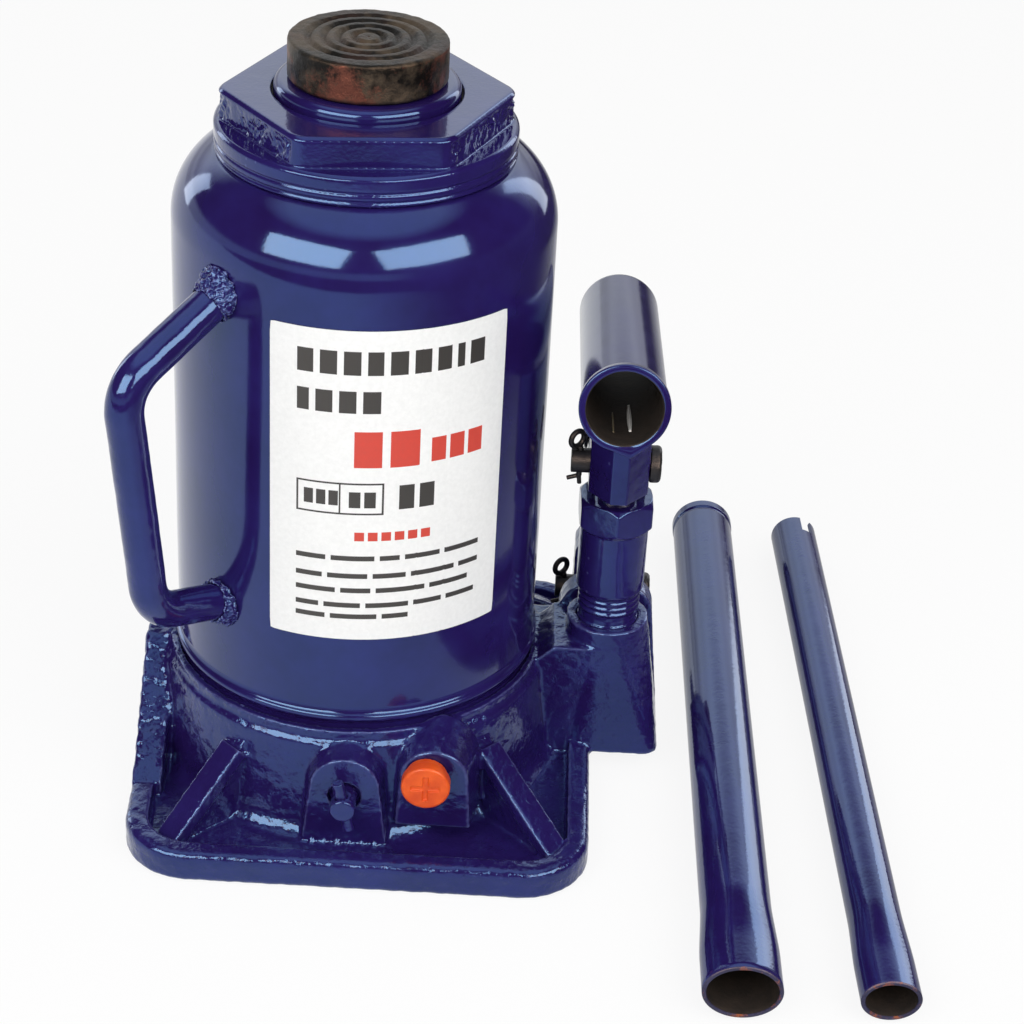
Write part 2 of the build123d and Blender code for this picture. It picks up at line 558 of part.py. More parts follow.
def make_top_nut():
    """Hexagon nut with a round flange that clamps the tank and guides the ram."""
    spigot_r = TANK_MOUTH_R - SLIDE_FIT
    edge = NUT_FLANGE_R - NUT_EDGE
    rim = [(edge, TANK_TOP), (NUT_FLANGE_R, TANK_TOP + NUT_EDGE)]
    for height in NUT_GROOVES:
        groove = TANK_TOP + height
        rim += [(NUT_FLANGE_R, groove - NUT_GROOVE_HALF), (NUT_FLANGE_R - NUT_GROOVE_D, groove),
                (NUT_FLANGE_R, groove + NUT_GROOVE_HALF)]
    body = turned([(0, TANK_TOP - NUT_SPIGOT), (spigot_r, TANK_TOP - NUT_SPIGOT), (spigot_r, TANK_TOP), *rim,
                   (NUT_FLANGE_R, NUT_FLANGE_TOP - NUT_EDGE), (edge, NUT_FLANGE_TOP), (0, NUT_FLANGE_TOP)])
    hexagon = fillet(RegularPolygon(NUT_HEX_R, 6).vertices(), NUT_CORNER_ROUND)
    crown = Pos(0, 0, NUT_FLANGE_TOP) * (Rot(0, 0, NUT_HEX_TURN) * extrude(hexagon, NUT_HEX_H))
    body += chamfer(crown.edges().group_by(Axis.Z)[-1], NUT_TOP_EDGE)
    body -= disc(CYLINDER_R + SLIDE_FIT, TANK_TOP - NUT_SPIGOT - OVER, CYLINDER_TOP)
    body -= disc(RAM_R + SLIDE_FIT, CYLINDER_TOP - OVER, NUT_TOP + OVER)
    body -= disc(RAM_R + WIPER_DEPTH, WIPER_SEAT, WIPER_SEAT + WIPER_HEIGHT)
    body -= disc(RAM_R + LIP_GAP, WIPER_SEAT + WIPER_HEIGHT - OVER, NUT_TOP + OVER)
    return body


def make_wiper():
    return ring(RAM_R + WIPER_DEPTH, RAM_R + SLIDE_FIT, WIPER_SEAT, WIPER_SEAT + WIPER_HEIGHT)


def make_ram():
    """Hollow ram, threaded inside near the top and relieved below for the screw stop."""
    body = disc(RAM_R, RAM_FOOT, RAM_TOP)
    body = fillet(body.edges().group_by(Axis.Z)[-1], RAM_NOSE_R)
    body -= disc(SCREW_R + SLIDE_FIT, STOP_TOP, RAM_TOP + OVER)
    body -= disc(STOP_R + SLIDE_FIT, RAM_FOOT + RAM_FLOOR, STOP_TOP)
    return body


def make_piston():
    """Piston head with one seal groove."""
    body = disc(CYLINDER_BORE_R - SLIDE_FIT, PISTON_FOOT, RAM_FOOT)
    groove = PISTON_FOOT + PISTON_GROOVE
    return body - ring(CYLINDER_BORE_R + OVER, CYLINDER_BORE_R - SEAL_DEPTH, groove, groove + SEAL_HEIGHT)


def make_piston_seal():
    groove = PISTON_FOOT + PISTON_GROOVE
    return ring(CYLINDER_BORE_R - SLIDE_FIT, CYLINDER_BORE_R - SEAL_DEPTH, groove, groove + SEAL_HEIGHT)


# ------------------------------------------------------------------ extension screw
def make_screw():
    """Extension screw with a spigot for the saddle and a journal for the stop."""
    body = disc(SCREW_R, SCREW_FOOT + STOP_HEIGHT + SIDE_GAP, SADDLE_FOOT)
    body += disc(SPIGOT_R, SADDLE_FOOT, SADDLE_FOOT + SPIGOT_H)
    return body + disc(SPIGOT_R, SCREW_FOOT, SCREW_FOOT + STOP_HEIGHT + SIDE_GAP)


def make_screw_stop():
    return ring(STOP_R, SPIGOT_R + SLIDE_FIT, SCREW_FOOT, SCREW_FOOT + STOP_HEIGHT)


def make_saddle():
    """Round load pad with ring grooves in its top."""
    body = disc(SADDLE_R, SADDLE_FOOT, SADDLE_TOP)
    body = fillet(body.edges().group_by(Axis.Z)[-1], 1.2)
    body = chamfer(body.edges().group_by(Axis.Z)[0], 0.8)
    for count in range(SADDLE_GROOVES):
        middle = SADDLE_GROOVE_PITCH * (count + 1)
        body -= ring(middle + SADDLE_GROOVE_W / 2, middle - SADDLE_GROOVE_W / 2,
                     SADDLE_TOP - SADDLE_GROOVE_D, SADDLE_TOP + OVER)
    return body - disc(SPIGOT_R, SADDLE_FOOT - OVER, SADDLE_FOOT + SPIGOT_H)


# ------------------------------------------------------------------ hand pump
def make_barrel():
    """Pump cylinder: threaded foot, ringed neck, plain body and hexagon head."""
    rings = PUMP_BOSS_TOP + NECK_PLAIN
    profile = [(BARREL_THREAD_R, PUMP_FACE), (BARREL_THREAD_R, PUMP_BOSS_TOP), (BARREL_NECK_R, PUMP_BOSS_TOP),
               (BARREL_NECK_R, rings)]
    pitch = (BARREL_NECK_TOP - rings) / NECK_RINGS
    for count in range(NECK_RINGS):
        low = rings + count * pitch
        profile += [(BARREL_NECK_R + NECK_RING_OUT, low + pitch / 2), (BARREL_NECK_R, low + pitch)]
    profile += [(BARREL_R, BARREL_NECK_TOP + NECK_FLARE), (BARREL_R, HEX_LOW), (0, HEX_LOW), (0, PUMP_FACE)]
    hexagon = RegularPolygon(HEX_FLATS / 2, 6, major_radius=False, rotation=HEX_TURN)
    head = Pos(PUMP_X, 0, HEX_LOW) * extrude(hexagon, HEX_TOP - HEX_LOW)
    flat = HEX_FLATS / 2
    corner = flat + HEX_CROWN
    head &= turned([(0, HEX_LOW), (flat, HEX_LOW), (corner, HEX_LOW + HEX_CROWN),
                    (corner, HEX_TOP - HEX_CROWN), (flat, HEX_TOP), (0, HEX_TOP)], PUMP_X)
    body = turned(profile, PUMP_X) + head
    body -= disc(PLUNGER_R + SLIDE_FIT, PUMP_FACE - OVER, HEX_TOP + OVER, PUMP_X)
    return body - disc(PLUNGER_R + GLAND_WALL, GLAND_SEAT, GLAND_SEAT + GLAND_HEIGHT, PUMP_X)


def make_plunger():
    """Pump plunger: polished rod with a flat eye for the pin."""
    root = PUMP_PIN_Z - EYE_R - EYE_ROOT
    width = 2 * EYE_HALF_WIDTH
    body = disc(PLUNGER_R, PLUNGER_FOOT, root, PUMP_X)
    tongue = Pos(PUMP_X, 0, PUMP_PIN_Z) * Box(width, 4 * EYE_R, 4 * EYE_R)
    body += disc(PLUNGER_R, root, PUMP_PIN_Z, PUMP_X) & tongue
    body += rod((PUMP_X - EYE_HALF_WIDTH, 0, PUMP_PIN_Z), (1, 0, 0), EYE_R, width)
    body -= rod((PUMP_X - EYE_R, 0, PUMP_PIN_Z), (1, 0, 0), PIN_R + PIN_FIT, 2 * EYE_R)
    return body - ring(PLUNGER_R + OVER, PLUNGER_R - PLUNGER_SEAL_D, PLUNGER_GROOVE,
                       PLUNGER_GROOVE + PLUNGER_SEAL_H, PUMP_X)


# ------------------------------------------------------------------ linkage
def headed_pin(y, z, reach):
    """Linkage pin across X with a domed head on its outer end."""
    start = PUMP_X - reach - PIN_TAIL
    body = rod((start, y, z), (1, 0, 0), PIN_R, 2 * reach + PIN_TAIL)
    head = rod((PUMP_X + reach, y, z), (1, 0, 0), PIN_HEAD_R, PIN_HEAD_H)
    head = fillet(head.edges().sort_by(Axis.X)[-1], PIN_HEAD_H * PIN_DOME)
    hole = rod((start + PIN_TAIL / 2, y, z - PIN_R - OVER), (0, 0, 1), COTTER_R + PIN_FIT, 2 * (PIN_R + OVER))
    return body + head - hole


def rivet(y, z, reach):
    """Rivet across X with a low domed head on both ends."""
    body = rod((PUMP_X - reach, y, z), (1, 0, 0), PIN_R, 2 * reach)
    for side in (-1, 1):
        head = rod((PUMP_X + side * reach, y, z), (side, 0, 0), PIN_HEAD_R, RIVET_HEAD_H)
        outer = head.edges().sort_by(Axis.X)[-1 if side > 0 else 0]
        body += fillet(outer, RIVET_HEAD_H * PIN_DOME)
    return body


def cotter(y, z, reach):
    """Split pin: round eye above the linkage pin and two bent legs below it."""
    x = PUMP_X - reach - PIN_TAIL / 2
    eye_foot = z + PIN_R + COTTER_R + PIN_FIT
    root = z - PIN_R - COTTER_ROOT
    eye = Pos(x - COTTER_EYE_R * COTTER_LEAN, y, eye_foot + COTTER_EYE_R)
    body = eye * Rot(0, 0, COTTER_TURN) * Rot(90, 0, 0) * Torus(COTTER_EYE_R, COTTER_R)
    body += rod((x, y, root), (0, 0, 1), COTTER_R, eye_foot - root)
    for direction, length in COTTER_LEGS:
        body += rod((x, y, root), direction, COTTER_LEG_R, length)
    return body


def make_links():
    """Pair of flat links from the casting lug to the socket bracket."""
    plates = []
    span = Vector(REAR_PIN_Y - LINK_FOOT_Y, REAR_PIN_Z - LINK_FOOT_Z)
    middle = Vector(REAR_PIN_Y + LINK_FOOT_Y, REAR_PIN_Z + LINK_FOOT_Z) * 0.5
    tilt = math.degrees(math.atan2(span.Y, span.X))
    shape = Pos(middle.X, middle.Y) * Rot(0, 0, tilt) * SlotCenterToCenter(span.length, 2 * LINK_EYE_R)
    waist = Pos(middle.X, middle.Y) * Rot(0, 0, tilt)
    for edge in (-1, 1):
        shape -= waist * Pos(0, edge * (LINK_EYE_R - LINK_WAIST + LINK_WAIST_R)) * Circle(LINK_WAIST_R)
    shape -= Pos(LINK_FOOT_Y, LINK_FOOT_Z) * Circle(PIN_R + PIN_FIT)
    shape -= Pos(REAR_PIN_Y, REAR_PIN_Z) * RectangleRounded(
        2 * (PIN_R + LINK_SLOT_Y), 2 * (PIN_R + LINK_SLOT_Z), PIN_R)
    solid = side_plate(shape, PUMP_X - LINK_OUTER, PUMP_X + LINK_OUTER)
    step, stop = LINK_JOG
    foot = LINK_FOOT_Z - 2 * LINK_EYE_R
    top = REAR_PIN_Z + 2 * LINK_EYE_R
    for side in (-1, 1):
        path = [(LINK_OUTER, foot), (LINK_OUTER, step), (LINK_TOP_OUTER, stop), (LINK_TOP_OUTER, top),
                (LINK_TOP_INNER, top), (LINK_TOP_INNER, stop), (LINK_INNER, step), (LINK_INNER, foot)]
        strip = make_face(Polyline(*[(PUMP_X + side * x, z) for x, z in path], close=True))
        plates.append(solid & front_plate(strip, 0, LINK_FOOT_Y + 2 * LINK_EYE_R))
    return Compound([plate.solid() for plate in plates])


# ------------------------------------------------------------------ handle socket
def socket_frame(along):
    """Plane square to the socket tube, at a distance from above the pump axis."""
    back = Vector(0, math.cos(SLOPE), -math.sin(SLOPE))
    start = Vector(PUMP_X - SOCKET_OFFSET, 0, SOCKET_AXIS_Z)
    return Plane(origin=start + back * along, x_dir=(1, 0, 0), z_dir=back)


def make_socket_tube():
    """Open tube that takes the handle, with a rolled lip at its mouth."""
    length = SOCKET_FRONT + SOCKET_BACK
    start = socket_frame(-SOCKET_FRONT)
    tube = start * Cylinder(SOCKET_R, length, align=LOW)
    lip = start * Cylinder(SOCKET_R + SOCKET_LIP, SOCKET_LIP_LENGTH, align=LOW)
    lip = fillet(lip.edges(), SOCKET_LIP * 0.9)
    bore = socket_frame(-SOCKET_FRONT - OVER) * Cylinder(SOCKET_BORE_R, length + 2 * OVER, align=LOW)
    dot_x = PUMP_X - SOCKET_OFFSET - SOCKET_R - OVER
    dot = rod((dot_x, SOCKET_BACK - SOCKET_DOT_IN, SOCKET_AXIS_Z - SOCKET_DOT_DOWN), (1, 0, 0),
              SOCKET_DOT_R, SOCKET_R)
    return tube + lip - bore - dot


def make_bracket():
    """Folded channel under the tube: nose in front, open at the back and below."""
    half = BRACKET_HALF_WIDTH
    front_y = -BRACKET_NOSE_Y
    back_y = REAR_PIN_Y + BRACKET_BACK
    shoulder_y = front_y + BRACKET_NOSE_LENGTH
    plan = make_face(Polyline((-BRACKET_NOSE_HALF, front_y), (BRACKET_NOSE_HALF, front_y), (half, shoulder_y),
                              (half, back_y), (-half, back_y), (-half, shoulder_y), close=True))
    hollow = offset(plan, -BRACKET_WALL)
    hollow += Pos(0, back_y) * Rectangle(2 * (half - BRACKET_WALL), 4 * BRACKET_WALL)
    walls = Pos(PUMP_X, 0, BRACKET_FOOT_Z) * extrude(plan - hollow, SOCKET_AXIS_Z - BRACKET_FOOT_Z)
    belly = [(REAR_PIN_Y + y, REAR_PIN_Z + z) for y, z in BRACKET_BELLY]
    side = make_face(Polyline((front_y - OVER, BRACKET_FOOT_Z), (BRACKET_FOOT_BACK, BRACKET_FOOT_Z), *belly,
                              (back_y, SOCKET_AXIS_Z), (front_y - OVER, SOCKET_AXIS_Z), close=True))
    body = walls & side_plate(side, PUMP_X - half - OVER, PUMP_X + half + OVER)
    length = SOCKET_FRONT + SOCKET_BACK
    tube = socket_frame(-SOCKET_FRONT)
    body -= tube * Cylinder(SOCKET_R, length, align=LOW)
    body -= tube * Pos(0, -2 * SOCKET_R, length / 2) * Box(4 * SOCKET_R, 4 * SOCKET_R, 2 * length)
    for y, z in ((0, PUMP_PIN_Z), (REAR_PIN_Y, REAR_PIN_Z)):
        body -= rod((PUMP_X - half - OVER, y, z), (1, 0, 0), PIN_R + PIN_FIT, 2 * (half + OVER))
    return body


# ------------------------------------------------------------------ valves
def make_release_valve():
    """Release screw: threaded part in the boss and a plain spindle that stands out of it."""
    seat = VALVE_SEAT_Y - 2 * BALL_R
    start = RELEASE_FACE_Y + VALVE_SHY
    tip = RELEASE_FACE_Y - SPINDLE_PROUD
    body = rod((RELEASE_X, start, RELEASE_Z), (0, 1, 0), VALVE_THREAD_R, seat - start)
    spindle = rod((RELEASE_X, tip, RELEASE_Z), (0, 1, 0), SPINDLE_R, SPINDLE_PROUD + SPINDLE_INTO)
    spindle = fillet(spindle.edges().sort_by(Axis.Y)[0], SPINDLE_ROUND)
    return body + spindle - make_cross_pin()


def make_cross_pin():
    turn = math.radians(CROSS_PIN_TURN)
    across = Vector(-math.sin(turn), 0, math.cos(turn))
    middle = Vector(RELEASE_X, RELEASE_FACE_Y - SPINDLE_PROUD + CROSS_PIN_IN, RELEASE_Z)
    return rod(middle - across * (CROSS_PIN_LENGTH / 2), across, CROSS_PIN_R, CROSS_PIN_LENGTH)


def make_release_ball():
    return Pos(RELEASE_X, VALVE_SEAT_Y - BALL_R, RELEASE_Z) * Sphere(BALL_R)


def make_safety_cap():
    """Plastic plug over the overload valve, with a cross-shaped recess in its face."""
    front = SAFETY_FACE_Y - CAP_PROUD
    length, width, depth = CAP_CROSS
    face = rod((SAFETY_X, front, SAFETY_Z), (0, 1, 0), CAP_R, CAP_FACE)
    face = fillet(face.edges().sort_by(Axis.Y)[0], CAP_ROUND)
    neck = rod((SAFETY_X, front + CAP_GROOVE, SAFETY_Z), (0, 1, 0), CAP_R - CAP_NECK_IN,
               CAP_PROUD - CAP_GROOVE)
    stem = rod((SAFETY_X, SAFETY_FACE_Y, SAFETY_Z), (0, 1, 0), SAFETY_BORE_R, CAP_STEM)
    cross = Pos(SAFETY_X, front, SAFETY_Z) * (Box(length, 2 * depth, width) + Box(width, 2 * depth, length))
    return face + neck + stem - cross


def make_safety_screw():
    """Slotted screw that sets the overload spring."""
    width, depth = SAFETY_SLOT
    body = rod((SAFETY_X, SAFETY_SCREW_Y, SAFETY_Z), (0, 1, 0), SAFETY_BORE_R, SAFETY_SCREW_LENGTH)
    return body - Pos(SAFETY_X, SAFETY_SCREW_Y, SAFETY_Z) * Box(3 * SAFETY_BORE_R, 2 * depth, width / 2)


def make_safety_spring():
    """Coil spring between the setting screw and its ball."""
    start = SAFETY_SCREW_Y + SAFETY_SCREW_LENGTH + SPRING_WIRE_R
    room = VALVE_SEAT_Y - 2 * SAFETY_BALL_R - start - SPRING_WIRE_R
    path = Helix(SPRING_PITCH, room, SAFETY_BORE_R - 2 * SPRING_WIRE_R)
    coil = sweep(Plane(origin=path @ 0, z_dir=path % 0) * Circle(SPRING_WIRE_R), path)
    return Plane(origin=(SAFETY_X, start, SAFETY_Z), z_dir=(0, 1, 0)) * coil


def make_safety_ball():
    return Pos(SAFETY_X, VALVE_SEAT_Y - SAFETY_BALL_R, SAFETY_Z) * Sphere(SAFETY_BALL_R)


# ------------------------------------------------------------------ carry handle
def carry_plane():
    """Upright plane through the tank axis and the carry handle; its origin is on the tank wall."""
    turn = math.radians(CARRY_TURN)
    outward = Vector(math.cos(turn), math.sin(turn), 0)
    return Plane(origin=outward * TANK_R, x_dir=outward, z_dir=outward.cross(Vector(0, 0, 1)))


def beyond(end, toward, reach):
    """Point that carries the line from one point to another on past its first point."""
    run = Vector(end[0] - toward[0], end[1] - toward[1])
    return tuple(Vector(*end) + run.normalized() * reach)[:2]


def make_carry_handle():
    """Round bar bent twice, its two ends shaped to the tank wall."""
    top = beyond(CARRY_TOP, CARRY_KNEE, CARRY_SINK)
    foot = beyond(CARRY_FOOT, CARRY_HEEL, CARRY_SINK)
    path = carry_plane() * FilletPolyline(top, CARRY_KNEE, CARRY_HEEL, foot, radius=CARRY_BEND_R)
    bar = sweep(Plane(origin=path @ 0, z_dir=path % 0) * Circle(CARRY_R), path)
    return bar - disc(TANK_R, BASE_TOP, TANK_TOP)


def make_carry_welds():
    """Fillet bead round each end of the carry handle."""
    plane = carry_plane()
    bar = make_carry_handle()
    beads = []
    for end, toward in ((CARRY_TOP, CARRY_KNEE), (CARRY_FOOT, CARRY_HEEL)):
        start = plane.from_local_coords(beyond(end, toward, WELD_SINK))
        axis = (plane.from_local_coords(toward) - plane.from_local_coords(end)).normalized()
        cone = Plane(origin=start, z_dir=axis) * Cone(WELD_R, CARRY_R + WELD_NECK, WELD_LENGTH, align=LOW)
        beads.append(cone - disc(TANK_R, 0, TANK_TOP) - bar)
    return Compound(beads)


# ------------------------------------------------------------------ handle tubes
def tube_ends(near, far, height):
    """Start, length, direction and sideways direction of a tube that lies on the floor."""
    start = Vector(PUMP_X + near[0], near[1], height)
    run = Vector(PUMP_X + far[0], far[1], height) - start
    back = run.normalized()
    return start, run.length, back, back.cross(Vector(0, 0, 1))


def tube_body(ends, radius, inset, end_width, end_height):
    """Round bar along a tube's axis, pressed to an oval at its near end."""
    start, length, back, across = ends
    mouth = Plane(origin=start, x_dir=across, z_dir=back)
    flat = Plane(origin=start + back * (END_LENGTH * END_FLAT), x_dir=across, z_dir=back)
    full = Plane(origin=start + back * END_LENGTH, x_dir=across, z_dir=back)
    oval = Ellipse(end_width / 2 - inset, end_height / 2 - inset)
    swage = loft([mouth * oval, flat * oval]) + loft([flat * oval, full * Circle(radius - inset)])
    return swage + full * Cylinder(radius - inset, length - END_LENGTH, align=LOW)


def make_thick_tube():
    """Outer handle tube with a small collar at its far end."""
    ends = tube_ends(THICK_NEAR, THICK_FAR, THICK_BEAD_R)
    start, length, back, across = ends
    tube = tube_body(ends, THICK_R, 0, THICK_END_W, THICK_END_H)
    bead = Plane(origin=start + back * (length - BEAD_LENGTH), z_dir=back)
    tube += bead * Cylinder(THICK_BEAD_R, BEAD_LENGTH, align=LOW)
    return tube - tube_body(ends, THICK_R, THICK_WALL, THICK_END_W, THICK_END_H)


def make_thin_tube():
    """Inner handle tube, notched at its far end to turn the release valve."""
    ends = tube_ends(THIN_NEAR, THIN_FAR, THIN_R)
    start, length, back, across = ends
    tube = tube_body(ends, THIN_R, 0, THIN_END_W, THIN_END_H)
    tube -= tube_body(ends, THIN_R, THIN_WALL, THIN_END_W, THIN_END_H)
    end = Plane(origin=start + back * length, x_dir=across, z_dir=back) * Rot(0, 0, NOTCH_TURN)
    straight = NOTCH_DEPTH - NOTCH_W / 2
    slot = end * Pos(0, 0, -straight / 2) * Box(3 * THIN_R, NOTCH_W, straight)
    root = end * Pos(0, 0, -straight) * Rot(0, 90, 0) * Cylinder(NOTCH_W / 2, 3 * THIN_R)
    return tube - slot - root


def pieces():
    """Every physical piece of the jack, by node name."""
    return {
        "base_casting": make_base(),
        "tank_foot_gasket": ring(TANK_R, TANK_INNER_R, DECK, TANK_FOOT),
        "reservoir_tank": make_tank(),
        "filler_plug": make_filler_plug(),
        "cylinder_washer": ring(CYLINDER_R, CYLINDER_BORE_R, CYLINDER_SEAT, CYLINDER_FOOT),
        "pressure_cylinder": make_cylinder(),
        "top_nut": make_top_nut(),
        "ram_wiper": make_wiper(),
        "ram": make_ram(),
        "ram_piston": make_piston(),
        "piston_seal": make_piston_seal(),
        "extension_screw": make_screw(),
        "screw_stop": make_screw_stop(),
        "saddle": make_saddle(),
        "pump_washer": ring(BARREL_THREAD_R, PLUNGER_R, PUMP_BORE_FLOOR, PUMP_FACE, PUMP_X),
        "pump_barrel": make_barrel(),
        "pump_gland": ring(PLUNGER_R + GLAND_WALL, PLUNGER_R + SLIDE_FIT, GLAND_SEAT,
                           GLAND_SEAT + GLAND_HEIGHT, PUMP_X),
        "pump_plunger": make_plunger(),
        "plunger_seal": ring(PLUNGER_R, PLUNGER_R - PLUNGER_SEAL_D, PLUNGER_GROOVE,
                             PLUNGER_GROOVE + PLUNGER_SEAL_H, PUMP_X),
        "socket_tube": make_socket_tube(),
        "socket_bracket": make_bracket(),
        "plunger_pin": headed_pin(0, PUMP_PIN_Z, BRACKET_HALF_WIDTH + PIN_PLAY),
        "plunger_cotter": cotter(0, PUMP_PIN_Z, BRACKET_HALF_WIDTH + PIN_PLAY),
        "link_plates": make_links(),
        "link_foot_pin": headed_pin(LINK_FOOT_Y, LINK_FOOT_Z, LINK_OUTER + PIN_PLAY),
        "link_foot_cotter": cotter(LINK_FOOT_Y, LINK_FOOT_Z, LINK_OUTER + PIN_PLAY),
        "link_top_rivet": rivet(REAR_PIN_Y, REAR_PIN_Z, BRACKET_HALF_WIDTH),
        "release_valve": make_release_valve(),
        "release_cross_pin": make_cross_pin(),
        "release_ball": make_release_ball(),
        "safety_cap": make_safety_cap(),
        "safety_screw": make_safety_screw(),
        "safety_spring": make_safety_spring(),
        "safety_ball": make_safety_ball(),
        "carry_handle": make_carry_handle(),
        "carry_handle_welds": make_carry_welds(),
        "handle_tube_thick": make_thick_tube(),
        "handle_tube_thin": make_thin_tube(),
    }


os.makedirs("parts", exist_ok=True)
for name, solid in pieces().items():
    solid.label = name
    export_step(solid, "parts/" + name + ".step")
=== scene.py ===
# %% [markdown]
# # A hydraulic bottle jack, dressed piece by piece
# The measured model comes in as a fixed frame and keeps every size and joint.
# This file gives it the looks of the real thing: thick blue enamel over a rough iron
# casting, rolled sheet steel, weld beads, a rusty load pad and two loose handle tubes.
# Lengths are in metres and the frame is the model's own: Z is up along the ram.

# %% Load the frame
import json
import math
import random

import bmesh
import bpy
from mathutils import Matrix, Vector, noise


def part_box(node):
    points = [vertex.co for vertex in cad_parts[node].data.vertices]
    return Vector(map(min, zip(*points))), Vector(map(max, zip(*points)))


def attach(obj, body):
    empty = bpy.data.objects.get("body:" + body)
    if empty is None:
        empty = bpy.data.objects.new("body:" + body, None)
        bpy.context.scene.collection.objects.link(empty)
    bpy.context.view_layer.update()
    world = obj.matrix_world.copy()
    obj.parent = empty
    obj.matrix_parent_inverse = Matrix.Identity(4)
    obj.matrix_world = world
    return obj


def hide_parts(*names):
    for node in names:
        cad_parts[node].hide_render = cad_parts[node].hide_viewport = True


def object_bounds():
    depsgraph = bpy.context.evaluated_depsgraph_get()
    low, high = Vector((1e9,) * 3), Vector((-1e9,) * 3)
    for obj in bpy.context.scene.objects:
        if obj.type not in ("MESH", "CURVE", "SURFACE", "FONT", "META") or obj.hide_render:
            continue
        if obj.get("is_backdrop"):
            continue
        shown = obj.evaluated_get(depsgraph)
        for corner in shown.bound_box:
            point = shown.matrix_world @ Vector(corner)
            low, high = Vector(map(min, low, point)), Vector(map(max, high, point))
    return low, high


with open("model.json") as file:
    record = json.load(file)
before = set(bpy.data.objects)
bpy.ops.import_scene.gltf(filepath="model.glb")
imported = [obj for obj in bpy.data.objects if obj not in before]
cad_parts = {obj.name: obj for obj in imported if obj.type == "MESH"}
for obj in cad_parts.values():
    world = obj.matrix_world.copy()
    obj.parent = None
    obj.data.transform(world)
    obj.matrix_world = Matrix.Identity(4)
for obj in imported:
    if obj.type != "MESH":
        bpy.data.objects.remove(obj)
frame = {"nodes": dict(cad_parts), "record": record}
nodes = frame["nodes"]
record = frame["record"]
behaviour = record["behaviour"]
body_of_node = {node: body for body, members in behaviour["bodies"].items() for node in members}
slot_of_node = {part["node"]: part["material_slot"] for part in record["subparts"]}
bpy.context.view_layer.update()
MM = 0.001

# %% [markdown]
# ## Short hands for shader nodes
# A material is a tree of nodes. Making each node takes four lines of Blender code, so
# a few small helpers keep the recipes below short enough to read as recipes.


# %% Node helpers
def add(tree, kind, inputs=None, **settings):
    """Adds one shader node; an input is a plain value or another node's output."""
    made = tree.nodes.new("ShaderNode" + kind)
    for key, value in settings.items():
        setattr(made, key, value)
    for key, value in (inputs or {}).items():
        if isinstance(value, bpy.types.NodeSocket):
            tree.links.new(value, made.inputs[key])
        else:
            made.inputs[key].default_value = value
    return made


def calc(tree, operation, first, second=0.0):
    """One sum on one or two values."""
    return add(tree, "Math", {0: first, 1: second}, operation=operation).outputs[0]


def times(tree, first, second):
    return calc(tree, "MULTIPLY", first, second)


def blend(tree, factor, first, second):
    """Mixes two colours."""
    return add(tree, "Mix", {0: factor, 6: first, 7: second}, data_type="RGBA").outputs[2]


def spread(tree, value, low, high, new_low=0.0, new_high=1.0):
    """Stretches a range of values onto another one and clips it."""
    return add(tree, "MapRange", {0: value, 1: low, 2: high, 3: new_low, 4: new_high}).outputs[0]


def speckle(tree, where, scale, detail=2.0, rough=0.5):
    """Soft random values between 0 and 1; scale counts the patches in a metre."""
    inputs = {"Vector": where, "Scale": scale, "Detail": detail, "Roughness": rough}
    return add(tree, "TexNoise", inputs).outputs["Fac"]


def here(tree):
    """Coordinates of the object itself, so that a pattern moves with its piece."""
    return add(tree, "TexCoord").outputs["Object"]


def colour(red, green, blue):
    return (red, green, blue, 1.0)


# %% [markdown]
# ## Effects that several finishes share
# Each effect is a node group with named sockets, built once and used with other values
# in each material. The groups put out masks, colours and heights only. The shader
# itself stays in the material.


# %% Group helper
def effect(name, inputs, outputs):
    """Empty node group with float inputs and the outputs asked for."""
    tree = bpy.data.node_groups.new(name, "ShaderNodeTree")
    new_socket = tree.interface.new_socket
    for label, value in inputs.items():
        socket = new_socket(name=label, in_out="INPUT", socket_type="NodeSocketFloat")
        socket.default_value = value
    for label, kind in outputs.items():
        new_socket(name=label, in_out="OUTPUT", socket_type="NodeSocket" + kind)
    return tree, tree.nodes.new("NodeGroupInput").outputs, tree.nodes.new("NodeGroupOutput").inputs


def place(tree, group, **values):
    """Puts a group into a material with this material's own values."""
    made = tree.nodes.new("ShaderNodeGroup")
    made.node_tree = group
    for label, value in values.items():
        socket = made.inputs[label.replace("_", " ")]
        if isinstance(value, bpy.types.NodeSocket):
            tree.links.new(value, socket)
        else:
            socket.default_value = value
    return made.outputs


# %% [markdown]
# ### Enamel film
# Gloss enamel that was sprayed thick isn't flat: it has a fine orange peel, slow waves
# where it ran together, and it is a little lighter where it is thin. Three noises of
# different size give the height of the film and its tone.

# %% Enamel film group
film, given, out = effect(
    "Enamel film", {"Peel": 0.3, "Waves": 0.5, "Grit": 0.0}, {"Height": "Float", "Tone": "Float"})
where = here(film)
peel = speckle(film, where, 900.0, 1.0)
waves = speckle(film, where, 130.0, 2.0)
grit = spread(film, speckle(film, where, 420.0, 3.0, 0.6), 0.55, 0.8)
height = times(film, peel, given["Peel"])
height = calc(film, "ADD", height, times(film, waves, given["Waves"]))
height = calc(film, "ADD", height, times(film, grit, given["Grit"]))
film.links.new(height, out["Height"])
film.links.new(speckle(film, where, 45.0, 4.0, 0.6), out["Tone"])
print("effect:", film.name)
